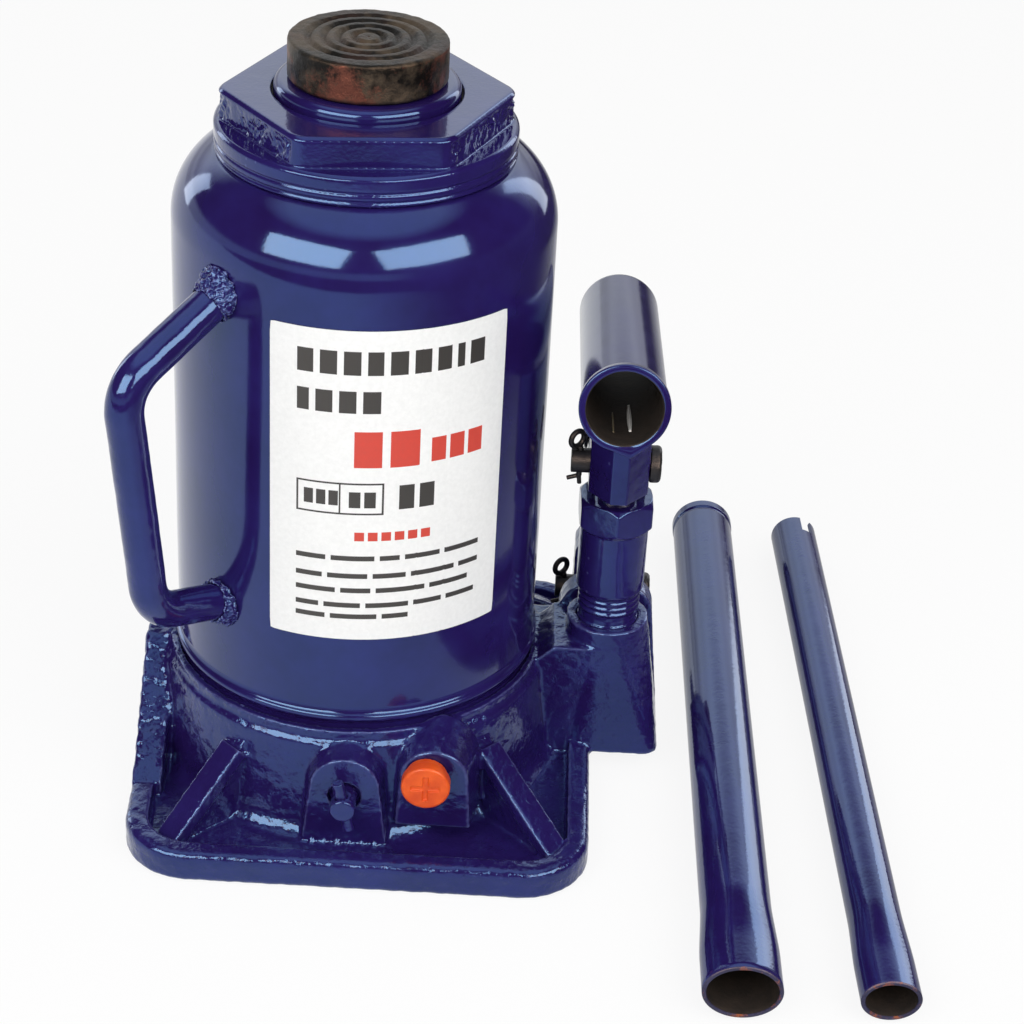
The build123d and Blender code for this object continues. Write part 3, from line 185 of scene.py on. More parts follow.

# %% [markdown]
# ### Edge wear and painted highlight
# Paint is thinnest on an outer corner and rubs through there first. The lighter colour
# of corners and lumps is partly that wear and partly a painted highlight.
# Cycles knows how sharply a surface turns (pointiness). That value is broken up by
# noise, because nothing wears evenly.

# %% Edge wear and painted highlight group
wear_and_sheen, given, out = effect(
    "Edge wear", {"Start": 0.52, "Full": 0.6, "Break up": 0.5}, {"Edge": "Float"})
turning = add(wear_and_sheen, "NewGeometry").outputs["Pointiness"]
edge = add(wear_and_sheen, "MapRange", {0: turning, 1: given["Start"], 2: given["Full"]}).outputs[0]
patchy = speckle(wear_and_sheen, here(wear_and_sheen), 260.0, 3.0, 0.7)
patchy = times(wear_and_sheen, calc(wear_and_sheen, "SUBTRACT", patchy, 0.5), given["Break up"])
wear_and_sheen.links.new(times(wear_and_sheen, edge, calc(wear_and_sheen, "ADD", patchy, 0.8)), out["Edge"])
print("effect:", wear_and_sheen.name)

# %% [markdown]
# ### Rust bloom
# Rust starts in spots that grow together. A coarse noise says where the spots are and a
# fine one gives them a crumbly edge. Amount moves the threshold, so more of it rusts.

# %% Rust bloom group
rust, given, out = effect(
    "Rust bloom", {"Amount": 0.4, "Size": 90.0}, {"Mask": "Float", "Color": "Color"})
where = here(rust)
spots = speckle(rust, where, given["Size"], 5.0, 0.65)
crumbs = speckle(rust, where, 1500.0, 3.0, 0.7)
crumbly = times(rust, calc(rust, "SUBTRACT", crumbs, 0.5), 0.25)
level = calc(rust, "ADD", calc(rust, "ADD", spots, crumbly), given["Amount"])
rust.links.new(spread(rust, level, 0.92, 1.04), out["Mask"])
old_rust, fresh_rust = colour(0.16, 0.035, 0.012), colour(0.36, 0.10, 0.03)
rust.links.new(blend(rust, crumbs, old_rust, fresh_rust), out["Color"])
print("effect:", rust.name)

# %% [markdown]
# ### Tool marks
# A turned face keeps a fine spiral from the tool. A noise stretched along the part's own Z
# gives bands that stand for the marks of the lathe.

# %% Tool marks group
marks, given, out = effect(
    "Tool marks", {"Spacing": 0.25, "Depth": 0.5}, {"Height": "Float", "Tone": "Float"})
where = here(marks)
stretched = add(marks, "Mapping", {"Vector": where, "Scale": (6.0, 6.0, 420.0)}).outputs[0]
bands = speckle(marks, stretched, 8.0, 3.0, 0.6)
marks.links.new(times(marks, bands, given["Depth"]), out["Height"])
marks.links.new(times(marks, bands, given["Spacing"]), out["Tone"])
print("effect:", marks.name)

# %% [markdown]
# ## Finishes
# One function makes an empty material with its shader. Each finish then adds its own
# colour, roughness and bump. Values that are the same all over sit on the shader's own
# sockets.


# %% Material helper
def finish(name, roughness, metallic=0.0, coat=0.0, coat_roughness=0.05, specular=0.5):
    """Material with a Principled shader; returns it with its tree and shader."""
    made = bpy.data.materials.new(name)
    made.use_nodes = True
    tree = made.node_tree
    shader = tree.nodes["Principled BSDF"]
    settings = {"Roughness": roughness, "Metallic": metallic, "Coat Weight": coat,
                "Coat Roughness": coat_roughness, "Specular IOR Level": specular}
    for label, value in settings.items():
        shader.inputs[label].default_value = value
    return made, tree, shader


def raise_surface(tree, shader, height, distance):
    """Bump from a height, in metres."""
    bump = add(tree, "Bump", {"Height": height, "Distance": distance, "Strength": 1.0})
    tree.links.new(bump.outputs["Normal"], shader.inputs["Normal"])


# %% [markdown]
# ### Blue enamel
# The same blue covers sheet, bar and casting. Only the film under the gloss differs:
# nearly flat on the rolled tank, wavy on bars, gritty on the casting.

# %% Blue enamel materials
DEEP_BLUE = colour(0.016, 0.007, 0.070)
THIN_BLUE = colour(0.020, 0.011, 0.100)
RUBBED_AND_LIT_BLUE = colour(0.170, 0.190, 0.430)
GLOSS_TINT = colour(0.16, 0.46, 1.0)


def enamel(name, peel, waves, grit, depth, rub_and_sheen=0.25, rub_and_sheen_from=0.53):
    """Gloss enamel; depth is the height of its unevenness in metres."""
    made, tree, shader = finish(name, 0.2, coat=0.14, coat_roughness=0.03, specular=1.0)
    shader.inputs["Specular Tint"].default_value = GLOSS_TINT
    surface = place(tree, film, Peel=peel, Waves=waves, Grit=grit)
    tone = blend(tree, spread(tree, surface["Tone"], 0.35, 0.65), DEEP_BLUE, THIN_BLUE)
    edge = place(tree, wear_and_sheen, Start=rub_and_sheen_from, Full=rub_and_sheen_from + 0.08, Break_up=0.7)["Edge"]
    # Corners and lumps turn a lighter blue: partly rubbed paint, partly a painted highlight.
    tone = blend(tree, times(tree, edge, rub_and_sheen), tone, RUBBED_AND_LIT_BLUE)
    tree.links.new(tone, shader.inputs["Base Color"])
    tree.links.new(spread(tree, surface["Tone"], 0.3, 0.7, 0.07, 0.14), shader.inputs["Roughness"])
    raise_surface(tree, shader, surface["Height"], depth)
    print("finish:", name)
    return made


sheet_enamel = enamel("blue enamel on sheet", 0.10, 0.25, 0.0, 0.00010)
bar_enamel = enamel("blue enamel on bar", 0.2, 0.45, 0.0, 0.00014)
# On the iron, corners and lumps get the full lighter blue: wear and painted highlight.
cast_enamel = enamel("blue enamel on iron", 0.45, 0.6, 0.5, 0.00022, rub_and_sheen=1.0, rub_and_sheen_from=0.515)

# %% [markdown]
# ### Load pad
# The load pad is dark oiled steel with rust in its pores. The rust bloom group could
# cover all of it, but shoes and jacking points keep the top rubbed, so a mask from the
# way the surface faces holds the rust to the side.

# %% Load pad material
pad_steel, tree, shader = finish("rusty load pad", 0.5, metallic=0.45, specular=0.3)
bloom = place(tree, rust, Amount=0.42, Size=75.0)
where = here(tree)
oil = speckle(tree, where, 60.0, 5.0, 0.7)
oily, dry = colour(0.005, 0.0045, 0.004), colour(0.072, 0.056, 0.040)
dark = blend(tree, spread(tree, oil, 0.44, 0.58), oily, dry)
facing = add(tree, "SeparateXYZ", {0: add(tree, "NewGeometry").outputs["Normal"]}).outputs["Z"]
on_side = spread(tree, facing, 0.2, 0.5, 1.0, 0.12)
rusted = times(tree, bloom["Mask"], on_side)
tree.links.new(blend(tree, rusted, dark, colour(0.130, 0.044, 0.030)), shader.inputs["Base Color"])
tree.links.new(spread(tree, oil, 0.3, 0.7, 0.30, 0.52), shader.inputs["Roughness"])
raise_surface(tree, shader, speckle(tree, where, 1100.0, 4.0, 0.7), 0.0002)
print("finish:", pad_steel.name)


# %% [markdown]
# ### Machined and plain metals
# Pins are blackened, the running parts are ground, and balls and washers are other
# metals again. They differ in tint and polish only, so one function makes them all
# from the tool marks group.


# %% Machined and plain metals
def metal(name, tint, roughness, depth=0.00004, metallic=1.0):
    """Ground or turned metal with fine tool marks."""
    made, tree, shader = finish(name, roughness, metallic=metallic)
    tool = place(tree, marks, Spacing=0.5, Depth=0.6)
    darker = tuple(0.72 * value for value in tint[:3]) + (1.0,)
    tree.links.new(blend(tree, tool["Tone"], tint, darker), shader.inputs["Base Color"])
    low, high = roughness * 0.8, roughness * 1.35
    tree.links.new(spread(tree, tool["Tone"], 0.1, 0.4, low, high), shader.inputs["Roughness"])
    raise_surface(tree, shader, tool["Height"], depth)
    return made


ground_steel = metal("ground steel", colour(0.62, 0.62, 0.64), 0.22)
ball_steel = metal("ball steel", colour(0.80, 0.80, 0.82), 0.08, 0.00001)
copper = metal("soft copper", colour(0.72, 0.40, 0.26), 0.35)
black_steel = metal("blackened steel", colour(0.035, 0.035, 0.040), 0.38, 0.00006, metallic=0.6)
# These two are painted light: pale steel for two bright lines of light in the socket's bore.
painted_light_steel = metal("bright steel", colour(0.86, 0.86, 0.84), 0.45, metallic=0.2)
dim_painted_light_steel = metal("dull steel", colour(0.20, 0.17, 0.11), 0.45, metallic=0.2)
print("finish:", ground_steel.name, ball_steel.name, copper.name, black_steel.name)

# %% [markdown]
# ### Cut ends and bores of the tubes
# The tubes were painted from outside. A little spray caught the cut ends and rust came
# through it. The bores are near-black, which is painted shade. Two finishes on one mesh show that.

# %% Cut ends and bores of the tubes
bare_tube, tree, shader = finish("bare tube steel", 0.5, metallic=0.2)
bloom = place(tree, rust, Amount=0.36, Size=160.0)
where = here(tree)
bare, sprayed = colour(0.012, 0.010, 0.030), colour(0.040, 0.042, 0.120)
blotches = blend(tree, speckle(tree, where, 120.0, 4.0), bare, sprayed)
tree.links.new(blend(tree, bloom["Mask"], blotches, bloom["Color"]), shader.inputs["Base Color"])
tree.links.new(spread(tree, bloom["Mask"], 0.0, 1.0, 0.42, 0.85), shader.inputs["Roughness"])
raise_surface(tree, shader, speckle(tree, where, 900.0, 3.0), 0.00015)

# Near-black with a little brown: painted shade of the deep inside of a bore.
shaded_bore, tree, shader = finish("sooty bore", 0.7, specular=0.3)
where = here(tree)
blotches = spread(tree, speckle(tree, where, 200.0, 4.0), 0.3, 0.7)
black, brown = colour(0.007, 0.007, 0.008), colour(0.020, 0.015, 0.013)
tree.links.new(blend(tree, blotches, black, brown), shader.inputs["Base Color"])
raise_surface(tree, shader, speckle(tree, where, 900.0, 3.0), 0.00015)
print("finish:", bare_tube.name, shaded_bore.name)

# %% [markdown]
# ### Rubber and orange plastic
# The seals are black rubber. The cap over the overload valve is a soft orange plastic,
# and a little light enters it, which subsurface scattering shows.

# %% Rubber and orange plastic
rubber, tree, shader = finish("nitrile rubber", 0.6, specular=0.35)
where = here(tree)
grain = speckle(tree, where, 1400.0, 3.0)
pore, skin = colour(0.012, 0.012, 0.013), colour(0.030, 0.030, 0.032)
tree.links.new(blend(tree, grain, pore, skin), shader.inputs["Base Color"])
raise_surface(tree, shader, grain, 0.00005)

orange, tree, shader = finish("orange plastic", 0.38, coat=0.05, specular=0.3)
where = here(tree)
cloud = spread(tree, speckle(tree, where, 180.0, 3.0), 0.35, 0.65)
deep_orange, pale_orange = colour(0.62, 0.060, 0.004), colour(0.78, 0.105, 0.008)
tree.links.new(blend(tree, cloud, deep_orange, pale_orange), shader.inputs["Base Color"])
shader.inputs["Subsurface Weight"].default_value = 0.15
shader.inputs["Subsurface Scale"].default_value = 0.002
raise_surface(tree, shader, speckle(tree, where, 1200.0, 2.0), 0.00004)
print("finish:", rubber.name, orange.name)

# %% [markdown]
# ## Tools for meshes
# Three ways of making a piece cover the whole jack: a lathe for turned pieces, a loft
# for tubes, and a cast copy. All of them end the same way: the mesh becomes an object
# that rides on a body of the frame and, where it can, stands in for a measured node.


# %% Turning a mesh into a piece
def mesh_from(form, name):
    """Mesh of what was built in bmesh."""
    mesh = bpy.data.meshes.new(name)
    form.to_mesh(mesh)
    form.free()
    return mesh


def in_scene(name, data):
    """Object that is linked to the scene."""
    made = bpy.data.objects.new(name, data)
    bpy.context.scene.collection.objects.link(made)
    return made


def piece(name, mesh, material, body, smooth=True):
    """Object on a body of the frame, with one finish."""
    made = in_scene(name, mesh)
    if not mesh.materials:
        mesh.materials.append(material)
    if smooth:
        mesh.shade_smooth()
    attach(made, body)
    print("piece:", name, len(mesh.vertices), "points")
    return made


def stand_in(node, mesh, material, name=None):
    """Piece that replaces a node of the frame, on the node's own body."""
    made = piece(name or node + "_finished", mesh, material, body_of_node[node])
    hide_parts(node)
    return made


def baked(made):
    """Applies an object's modifiers and returns the plain mesh that they give."""
    bpy.context.view_layer.update()
    settled = made.evaluated_get(bpy.context.evaluated_depsgraph_get())
    mesh = bpy.data.meshes.new_from_object(settled)
    bpy.data.objects.remove(made)
    return mesh


# %% [markdown]
# ### Cast copy
# The cast copy remeshes the measured solid into small even faces, lets the corners melt
# a little and adds the lumps of sand casting or thick paint. It is how a real casting
# differs from its drawing. Sculpting by hand could do it too, but wouldn't follow when
# a size of the model changes.


# %% Cast copy
def clipped(value):
    """The value, held between 0 and 1."""
    return min(max(value, 0.0), 1.0)


def joined_copy(node):
    """Mesh of a frame node with the split corners of its faces joined again."""
    form = bmesh.new()
    form.from_mesh(nodes[node].data)
    bmesh.ops.remove_doubles(form, verts=form.verts, dist=0.001 * MM)
    return mesh_from(form, node + " copy")


def remeshed(mesh, voxel, rounds):
    """Even small faces all over, with the corners melted by some rounds of smoothing."""
    made = in_scene("remesh", mesh)
    grid = made.modifiers.new("even faces", "REMESH")
    grid.mode = "VOXEL"
    grid.voxel_size = voxel
    if rounds:
        melt = made.modifiers.new("melted corners", "SMOOTH")
        melt.factor = 0.5
        melt.iterations = rounds
    return baked(made)


def lumps(mesh, height, size, low, high, seed=0.0, share=None):
    """Moves each point along its normal by soft noise and keeps it inside the node's box.

    share(place, normal) tells how much of the noise a point gets.
    """
    shift = Vector((seed, seed, seed))
    normals = [point.normal.copy() for point in mesh.vertices]
    for point, normal in zip(mesh.vertices, normals):
        spot = point.co / size + shift
        rise = noise.noise(spot) + 0.5 * noise.noise(spot * 2.3)
        amount = share(point.co, normal) if share else 1.0
        moved = point.co + normal * (rise * height - 0.5 * height) * amount
        point.co = [min(max(value, floor), top) for value, floor, top in zip(moved, low, high)]


def cast_copy(node, material, voxel, rounds, height, size, seed=0.0, share=None):
    """Replaces a frame node by its cast or thickly painted copy."""
    mesh = remeshed(joined_copy(node), voxel, rounds)
    low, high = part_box(node)
    if height:
        lumps(mesh, height, size, low, high, seed, share)
    return stand_in(node, mesh, material)


# %% [markdown]
# ### Outlines
# A turned piece starts as an outline: pairs of radius and height. Round corners are
# arcs through three points, and long straight runs get points in between, so that
# noise has something to move.


# %% Outlines
def arc(start, middle, end, steps):
    """Points on the circle through three points, both ends included."""
    ax, ay = start
    bx, by = middle
    cx, cy = end
    turn = 2 * (ax * (by - cy) + bx * (cy - ay) + cx * (ay - by))
    a2, b2, c2 = ax * ax + ay * ay, bx * bx + by * by, cx * cx + cy * cy
    ux = (a2 * (by - cy) + b2 * (cy - ay) + c2 * (ay - by)) / turn
    uy = (a2 * (cx - bx) + b2 * (ax - cx) + c2 * (bx - ax)) / turn
    radius = math.hypot(ax - ux, ay - uy)
    first = math.atan2(ay - uy, ax - ux)
    last = math.atan2(cy - uy, cx - ux)
    between = math.atan2(by - uy, bx - ux)
    while last < first:
        last += math.tau
    while between < first:
        between += math.tau
    if between > last:
        last -= math.tau
    angles = [first + (last - first) * step / steps for step in range(steps + 1)]
    return [(ux + radius * math.cos(angle), uy + radius * math.sin(angle)) for angle in angles]


def sample(profile, spacing):
    """Adds points to long straight runs of an outline, so that noise can move them."""
    fine = []
    for start, end in zip(profile, profile[1:] + profile[:1]):
        count = max(1, int(math.dist(start, end) / spacing))
        for step in range(count):
            share = step / count
            fine.append(tuple(a + (b - a) * share for a, b in zip(start, end)))
    return fine


# %% [markdown]
# ### Lathe
# The outline is set round the axis in rings, and faces bridge each ring to the next. A
# Screw modifier would do the same; rings made here keep every point in reach.


# %% Lathe
def ring_of(form, segments, level, radius_at):
    """Ring of points round the axis; the radius is a function of the angle."""
    angles = [math.tau * step / segments for step in range(segments)]
    places = [(radius_at(angle), angle) for angle in angles]
    return [form.verts.new((radius * math.cos(angle), radius * math.sin(angle), level))
            for radius, angle in places]


def bridge(form, rings, closed_ends=False):
    """Faces between rings of points; the last ring joins the first if the loop is closed."""
    made = []
    pairs = list(zip(rings, rings[1:] + rings[:1])) if closed_ends else list(zip(rings, rings[1:]))
    for near, far in pairs:
        count = len(near)
        for step in range(count):
            after = (step + 1) % count
            made.append(form.faces.new((near[step], near[after], far[after], far[step])))
    return made


def lathe(name, profile, segments, place_at=None):
    """Closed ring-shaped solid turned from a closed (radius, height) outline."""
    form = bmesh.new()
    rings = [ring_of(form, segments, level, lambda angle: radius) for radius, level in profile]
    bridge(form, rings, closed_ends=True)
    bmesh.ops.recalc_face_normals(form, faces=form.faces)
    mesh = mesh_from(form, name)
    if place_at:
        mesh.transform(place_at)
    return mesh


def sharpen(mesh, degrees):
    """Marks edges sharper than an angle, so that smooth shading stops at them."""
    form = bmesh.new()
    form.from_mesh(mesh)
    for edge in form.edges:
        edge.smooth = len(edge.link_faces) == 2 and edge.calc_face_angle(0) < math.radians(degrees)
    for face in form.faces:
        face.smooth = True
    form.to_mesh(mesh)
    form.free()


# %% [markdown]
# ## Foot casting
# The foot is grey iron cast in sand: a tray with a thick rim, a flared skirt that
# carries the tank, ribs to the corners, and bosses for the valves and the pump.
# Its corners are round from the pattern and its skin is lumpy under the paint. Slabs on
# the ribs' backs and a row of paint beads under the release boss go in before the
# remesh, so that they grow together with the casting.

# %% Ribs and beads of the foot
RIB_WIDE, RIB_DEEP = 8.8 * MM, 5.0 * MM
RIBS = (((-53.1, -74.0, 7.1), (-34.5, -55.4, 31.0)), ((69.3, -70.8, 8.0), (45.8, -47.3, 30.4)))
BEAD_R, BEADS, BEAD_PITCH = 1.2 * MM, 6, 3.9 * MM
BEAD_ROW_Y, BEAD_ROW_Z = -69.2 * MM, 6.0 * MM


def rib_cap(form, foot_spot, root_spot):
    """Slab that lies on a rib's sloping back and is a little wider than the rib."""
    start, end = Vector(foot_spot) * MM, Vector(root_spot) * MM
    along = (end - start).normalized()
    across = along.cross(Vector((0, 0, 1))).normalized()
    up = across.cross(along)
    place_at = Matrix((across, along, up)).transposed().to_4x4()
    place_at.translation = (start + end) / 2 - up * RIB_DEEP * 0.36
    slab = bmesh.ops.create_cube(form, size=1.0)["verts"]
    bmesh.ops.scale(form, vec=(RIB_WIDE, (end - start).length, RIB_DEEP), verts=slab)
    bmesh.ops.transform(form, matrix=place_at, verts=slab)


form = bmesh.new()
form.from_mesh(joined_copy("base_casting"))
for foot_spot, root_spot in RIBS:
    rib_cap(form, foot_spot, root_spot)
    mirrored = [(spot[0], -spot[1], spot[2]) for spot in (foot_spot, root_spot)]
    rib_cap(form, *mirrored)
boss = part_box("release_valve")
boss_x = (boss[0].x + boss[1].x) / 2
for number in range(BEADS):
    radius = BEAD_R * random.Random(number).uniform(0.7, 1.1)
    bead = bmesh.ops.create_icosphere(form, subdivisions=2, radius=radius)
    spot = (boss_x + (number - 2.5) * BEAD_PITCH, BEAD_ROW_Y, BEAD_ROW_Z)
    bmesh.ops.translate(form, vec=spot, verts=bead["verts"])
mesh = remeshed(mesh_from(form, "foot"), 0.6 * MM, 4)
print("foot:", len(mesh.vertices), "points after the remesh")

# %% [markdown]
# The wall at the left of the foot runs up to the tank in one slope on the pattern, and
# the solid has it as flats with edges. Many rounds of smoothing on those points alone
# take the edges out and leave the rest of the casting crisp.


# %% Raised wall of the foot
def on_raised_wall(spot):
    """True for the points of the wall on the far side from the pump."""
    return spot.x < -57 * MM and spot.z > 13.5 * MM and abs(spot.y) < 46 * MM


form = bmesh.new()
form.from_mesh(mesh)
chosen = [point for point in form.verts if on_raised_wall(point.co)]
every_axis = {"use_axis_x": True, "use_axis_y": True, "use_axis_z": True}
for step in range(14):
    bmesh.ops.smooth_vert(form, verts=chosen, factor=0.5, **every_axis)
form.to_mesh(mesh)
form.free()
print("raised wall:", len(chosen), "points smoothed")

# %% [markdown]
# Sand leaves lumps of a few millimetres. A bump in the material would shade them, but
# the outline of the wall shows them too, so they are real here. The raised wall was
# never dressed and gets three times as much.


# %% Skin of the foot
def rough_side(spot, normal):
    """More lumps on the raised wall than on the rest."""
    raised = clipped((spot.z - 12 * MM) / (3 * MM))
    return 1.0 + 2.0 * raised * clipped((-spot.x - 52 * MM) / (8 * MM))


low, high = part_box("base_casting")
lumps(mesh, 0.16 * MM, 3.6 * MM, low, high, share=rough_side)
stand_in("base_casting", mesh, cast_enamel)

# %% [markdown]
# ## Oil tank
# A drawn steel can with a rounded shoulder. A lathe gives it long clean reflections,
# and a very slow wave keeps them from looking machined.

# %% Oil tank
low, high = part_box("reservoir_tank")
TANK_R = 58.0 * MM
tank_foot, tank_top = low.z, high.z
bead_z = 45.8 * MM
bead = arc((TANK_R, bead_z - 1.4 * MM), (TANK_R + 1.1 * MM, bead_z), (TANK_R, bead_z + 1.4 * MM), 8)
TANK_WALL, MOUTH_R, NECK_R = 3.5 * MM, 38.2 * MM, 45.0 * MM
crown = (TANK_R - 3.6 * MM, tank_top - 8.4 * MM)
shoulder = arc((TANK_R, tank_top - 21 * MM), crown, (NECK_R, tank_top), 28)
outline = [(TANK_R - TANK_WALL, tank_foot), (TANK_R, tank_foot)] + bead + shoulder
outline += [(MOUTH_R, tank_top), (MOUTH_R, tank_top - TANK_WALL)]
outline += [(NECK_R - 2 * MM, tank_top - TANK_WALL), (TANK_R - TANK_WALL, tank_top - 24 * MM)]
mesh = lathe("tank", sample(outline, 2.5 * MM), 256)
for point in mesh.vertices:
    rise = noise.noise(point.co / (34 * MM)) * 0.12 * MM - 0.1 * MM
    point.co.xy *= 1 + rise / TANK_R
stand_in("reservoir_tank", mesh, sheet_enamel, name="tank_finished")

# %% [markdown]
# ## Painted pieces, pins and cap
# Forged, bent and turned pieces, painted after assembly. The paint closes small gaps
# and rounds every corner, which the cast copy does as well. One table holds them all:
# size of the faces, rounds of melting, height and size of the lumps in millimetres.

# %% Painted pieces, pins and cap
for node, voxel, rounds, height, size, material in (
    ("pump_barrel", 0.35, 2, 0.05, 5.0, bar_enamel),
    ("socket_bracket", 0.4, 3, 0.10, 4.0, bar_enamel),
    ("link_plates", 0.45, 3, 0.12, 4.0, bar_enamel),
    ("release_valve", 0.3, 2, 0.12, 2.0, bar_enamel),
    ("release_cross_pin", 0.25, 2, 0.10, 2.0, bar_enamel),
    ("carry_handle", 0.6, 3, 0.10, 7.0, bar_enamel),
    ("safety_cap", 0.25, 2, 0.0, 1.0, orange),
    ("plunger_pin", 0.3, 2, 0.08, 1.5, black_steel),
    ("link_foot_pin", 0.3, 2, 0.08, 1.5, black_steel),
    ("link_top_rivet", 0.3, 2, 0.08, 1.5, black_steel),
    ("plunger_cotter", 0.18, 1, 0.0, 1.0, black_steel),
    ("link_foot_cotter", 0.18, 1, 0.0, 1.0, black_steel),
    ("carry_handle_welds", 0.35, 1, 0.9, 1.7, cast_enamel),
):
    cast_copy(node, material, voxel * MM, rounds, height * MM, size * MM)

# %% [markdown]
# The ram is a ground tube with a solid foot. It slides in the nut and the screw slides
# in it, with a twentieth of a millimetre to spare, so it is turned on the lathe to its
# exact radii: a remeshed copy would be off by more than that.

# %% Ram
SLIDE_FIT = 0.05 * MM
low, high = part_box("ram")
ram_r, nose, floor_thick = high.x, 2.4 * MM, 20.0 * MM
stop_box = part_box("screw_stop")
screw_rise = next(joint for joint in behaviour["joints"] if joint["name"] == "screw_rise")
stopped_at = stop_box[1].z + screw_rise["range_m"][1] + SLIDE_FIT
screw_bore, stop_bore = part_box("extension_screw")[1].x + SLIDE_FIT, stop_box[1].x + SLIDE_FIT
slope = nose * (1 - math.sqrt(0.5))
outline = [(0.3 * MM, low.z), (ram_r - 0.5 * MM, low.z), (ram_r, low.z + 0.5 * MM)]
outline += arc((ram_r, high.z - nose), (ram_r - slope, high.z - slope), (ram_r - nose, high.z), 10)
outline += [(screw_bore + 0.4 * MM, high.z), (screw_bore, high.z - 0.4 * MM)]
outline += [(screw_bore, stopped_at), (stop_bore, stopped_at)]
outline += [(stop_bore, low.z + floor_thick), (0.3 * MM, low.z + floor_thick)]
mesh = lathe("ram", sample(outline, 4 * MM), 192)
sharpen(mesh, 40)
stand_in("ram", mesh, sheet_enamel)

# %% [markdown]
# The nut was sawn from forged bar. Its top and the two faces square to the saw came out
# smooth, and the flanks that point sideways kept the rough skin of the forging. The
# noise is therefore faded by the way a point faces.

# %% Top nut
nut_low, nut_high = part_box("top_nut")
flange_top = nut_low.z + 23.5 * MM


def rough_flank(spot, normal):
    """Full on the flanks that face sideways above the flange, none elsewhere."""
    sideways = clipped((abs(normal.x) - 0.55) / 0.2)
    above = clipped((spot.z - flange_top) / (1.2 * MM))
    below_top = clipped((nut_high.z - 1.2 * MM - spot.z) / (1.2 * MM))
    patchy = 0.55 + 0.9 * noise.noise(spot / (7 * MM))
    return sideways * above * below_top * patchy


cast_copy("top_nut", bar_enamel, 0.3 * MM, 6, 1.0 * MM, 2.6 * MM, share=rough_flank)

# %% [markdown]
# ## Handle socket
# The handle socket is a drawn tube with a rolled lip. A lathe gives it an even shine,
# and its axis comes from the mount that the record holds for its bore.

# %% Socket tube with its lip
socket_mount = next(mount for mount in record["mounts"] if mount["name"] == "socket_bore")
mouth, outward = Vector(socket_mount["pos_m"]), Vector(socket_mount["axis"])
bore_r = socket_mount["dims"]["r_mm"] * MM
socket_length = socket_mount["dims"]["length_mm"] * MM
SOCKET_R, SOCKET_LIP_R, LIP_LONG = 12.7 * MM, 13.5 * MM, 3.2 * MM
outline = [(bore_r, 0.5 * MM), (bore_r + 0.35 * MM, 0.1 * MM), (bore_r + 0.8 * MM, 0.0)]
outline += [(SOCKET_LIP_R - 0.7 * MM, 0.0)]
lip_start, lip_end = (SOCKET_LIP_R - 0.6 * MM, 0.02 * MM), (SOCKET_LIP_R, 0.7 * MM)
outline += arc(lip_start, (SOCKET_LIP_R - 0.16 * MM, 0.2 * MM), lip_end, 6)
outline += [(SOCKET_LIP_R, LIP_LONG - 0.8 * MM), (SOCKET_R + 0.3 * MM, LIP_LONG - 0.1 * MM)]
outline += [(SOCKET_R, LIP_LONG + 0.4 * MM), (SOCKET_R, socket_length - 0.5 * MM)]
outline += [(SOCKET_R - 0.4 * MM, socket_length), (bore_r + 0.3 * MM, socket_length)]
outline += [(bore_r, socket_length - 0.4 * MM)]
inward = -outward
level = Vector((1, 0, 0))
turned = Matrix((level, inward.cross(level), inward)).transposed().to_4x4()
mesh = lathe("socket", sample(outline, 1.0 * MM), 192, Matrix.Translation(mouth) @ turned)
mesh.materials.append(sheet_enamel)
mesh.materials.append(shaded_bore)
print("socket:", round(socket_length / MM, 1), "mm long")

# %% [markdown]
# The bracket under the tube was pressed up against the lip and left a small nose in it.
# Points of the lip near that spot are drawn down, less and less to the sides and to the
# back. The faces inside the bore then get the near-black finish, which is painted shade.

# %% Nose in the lip and dark bore
nose_x, NOSE_HALF, NOSE_DEEP, NOSE_DOWN = mouth.x + 2.6 * MM, 5.5 * MM, 4 * MM, 2.3 * MM
for point in mesh.vertices:
    reach = point.co - mouth
    deep = reach.dot(inward)
    out_from_axis = (reach - inward * deep).length
    if deep < NOSE_DEEP and reach.z < 0 and out_from_axis > bore_r + 0.5 * MM:
        near_nose = max(0.0, 1.0 - abs(point.co.x - nose_x) / NOSE_HALF)
        point.co.z -= NOSE_DOWN * near_nose ** 1.5 * (1.0 - deep / NOSE_DEEP)
# Faces inside the bore get the near-black finish: painted shade.
for face in mesh.polygons:
    reach = face.center - mouth
    if (reach - outward * reach.dot(outward)).length < bore_r + 0.2 * MM:
        face.material_index = 1
sharpen(mesh, 60)
stand_in("socket_tube", mesh, sheet_enamel)

# %% [markdown]
# ## Load pad
# A turned pad with ring grooves that keep the load from slipping. It is never painted.

# %% Load pad
low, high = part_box("saddle")
pad_r, pad_foot, pad_top = high.x, low.z, high.z
GROOVE_PITCH, GROOVE_HALF, GROOVE_DEEP = 4.4 * MM, 0.75 * MM, 1.1 * MM
GROOVE = ((-1.7, 0.0), (-0.8, 0.8), (0.0, 1.0), (0.8, 0.8), (1.7, 0.0))
outline = [(0.3 * MM, pad_top)]
for count in range(1, 5):
    middle = GROOVE_PITCH * count
    outline += [(middle + across * GROOVE_HALF, pad_top - deep * GROOVE_DEEP)
                for across, deep in GROOVE]
edge_start, edge_end = (pad_r - 1.2 * MM, pad_top), (pad_r, pad_top - 1.2 * MM)
outline += arc(edge_start, (pad_r - 0.35 * MM, pad_top - 0.35 * MM), edge_end, 5)
outline += [(pad_r, pad_foot + 0.8 * MM), (pad_r - 0.8 * MM, pad_foot), (0.3 * MM, pad_foot)]
mesh = lathe("pad", sample(outline, 0.6 * MM), 220)
lumps(mesh, 0.13 * MM, 2.2 * MM, low, high)
stand_in("saddle", mesh, pad_steel)

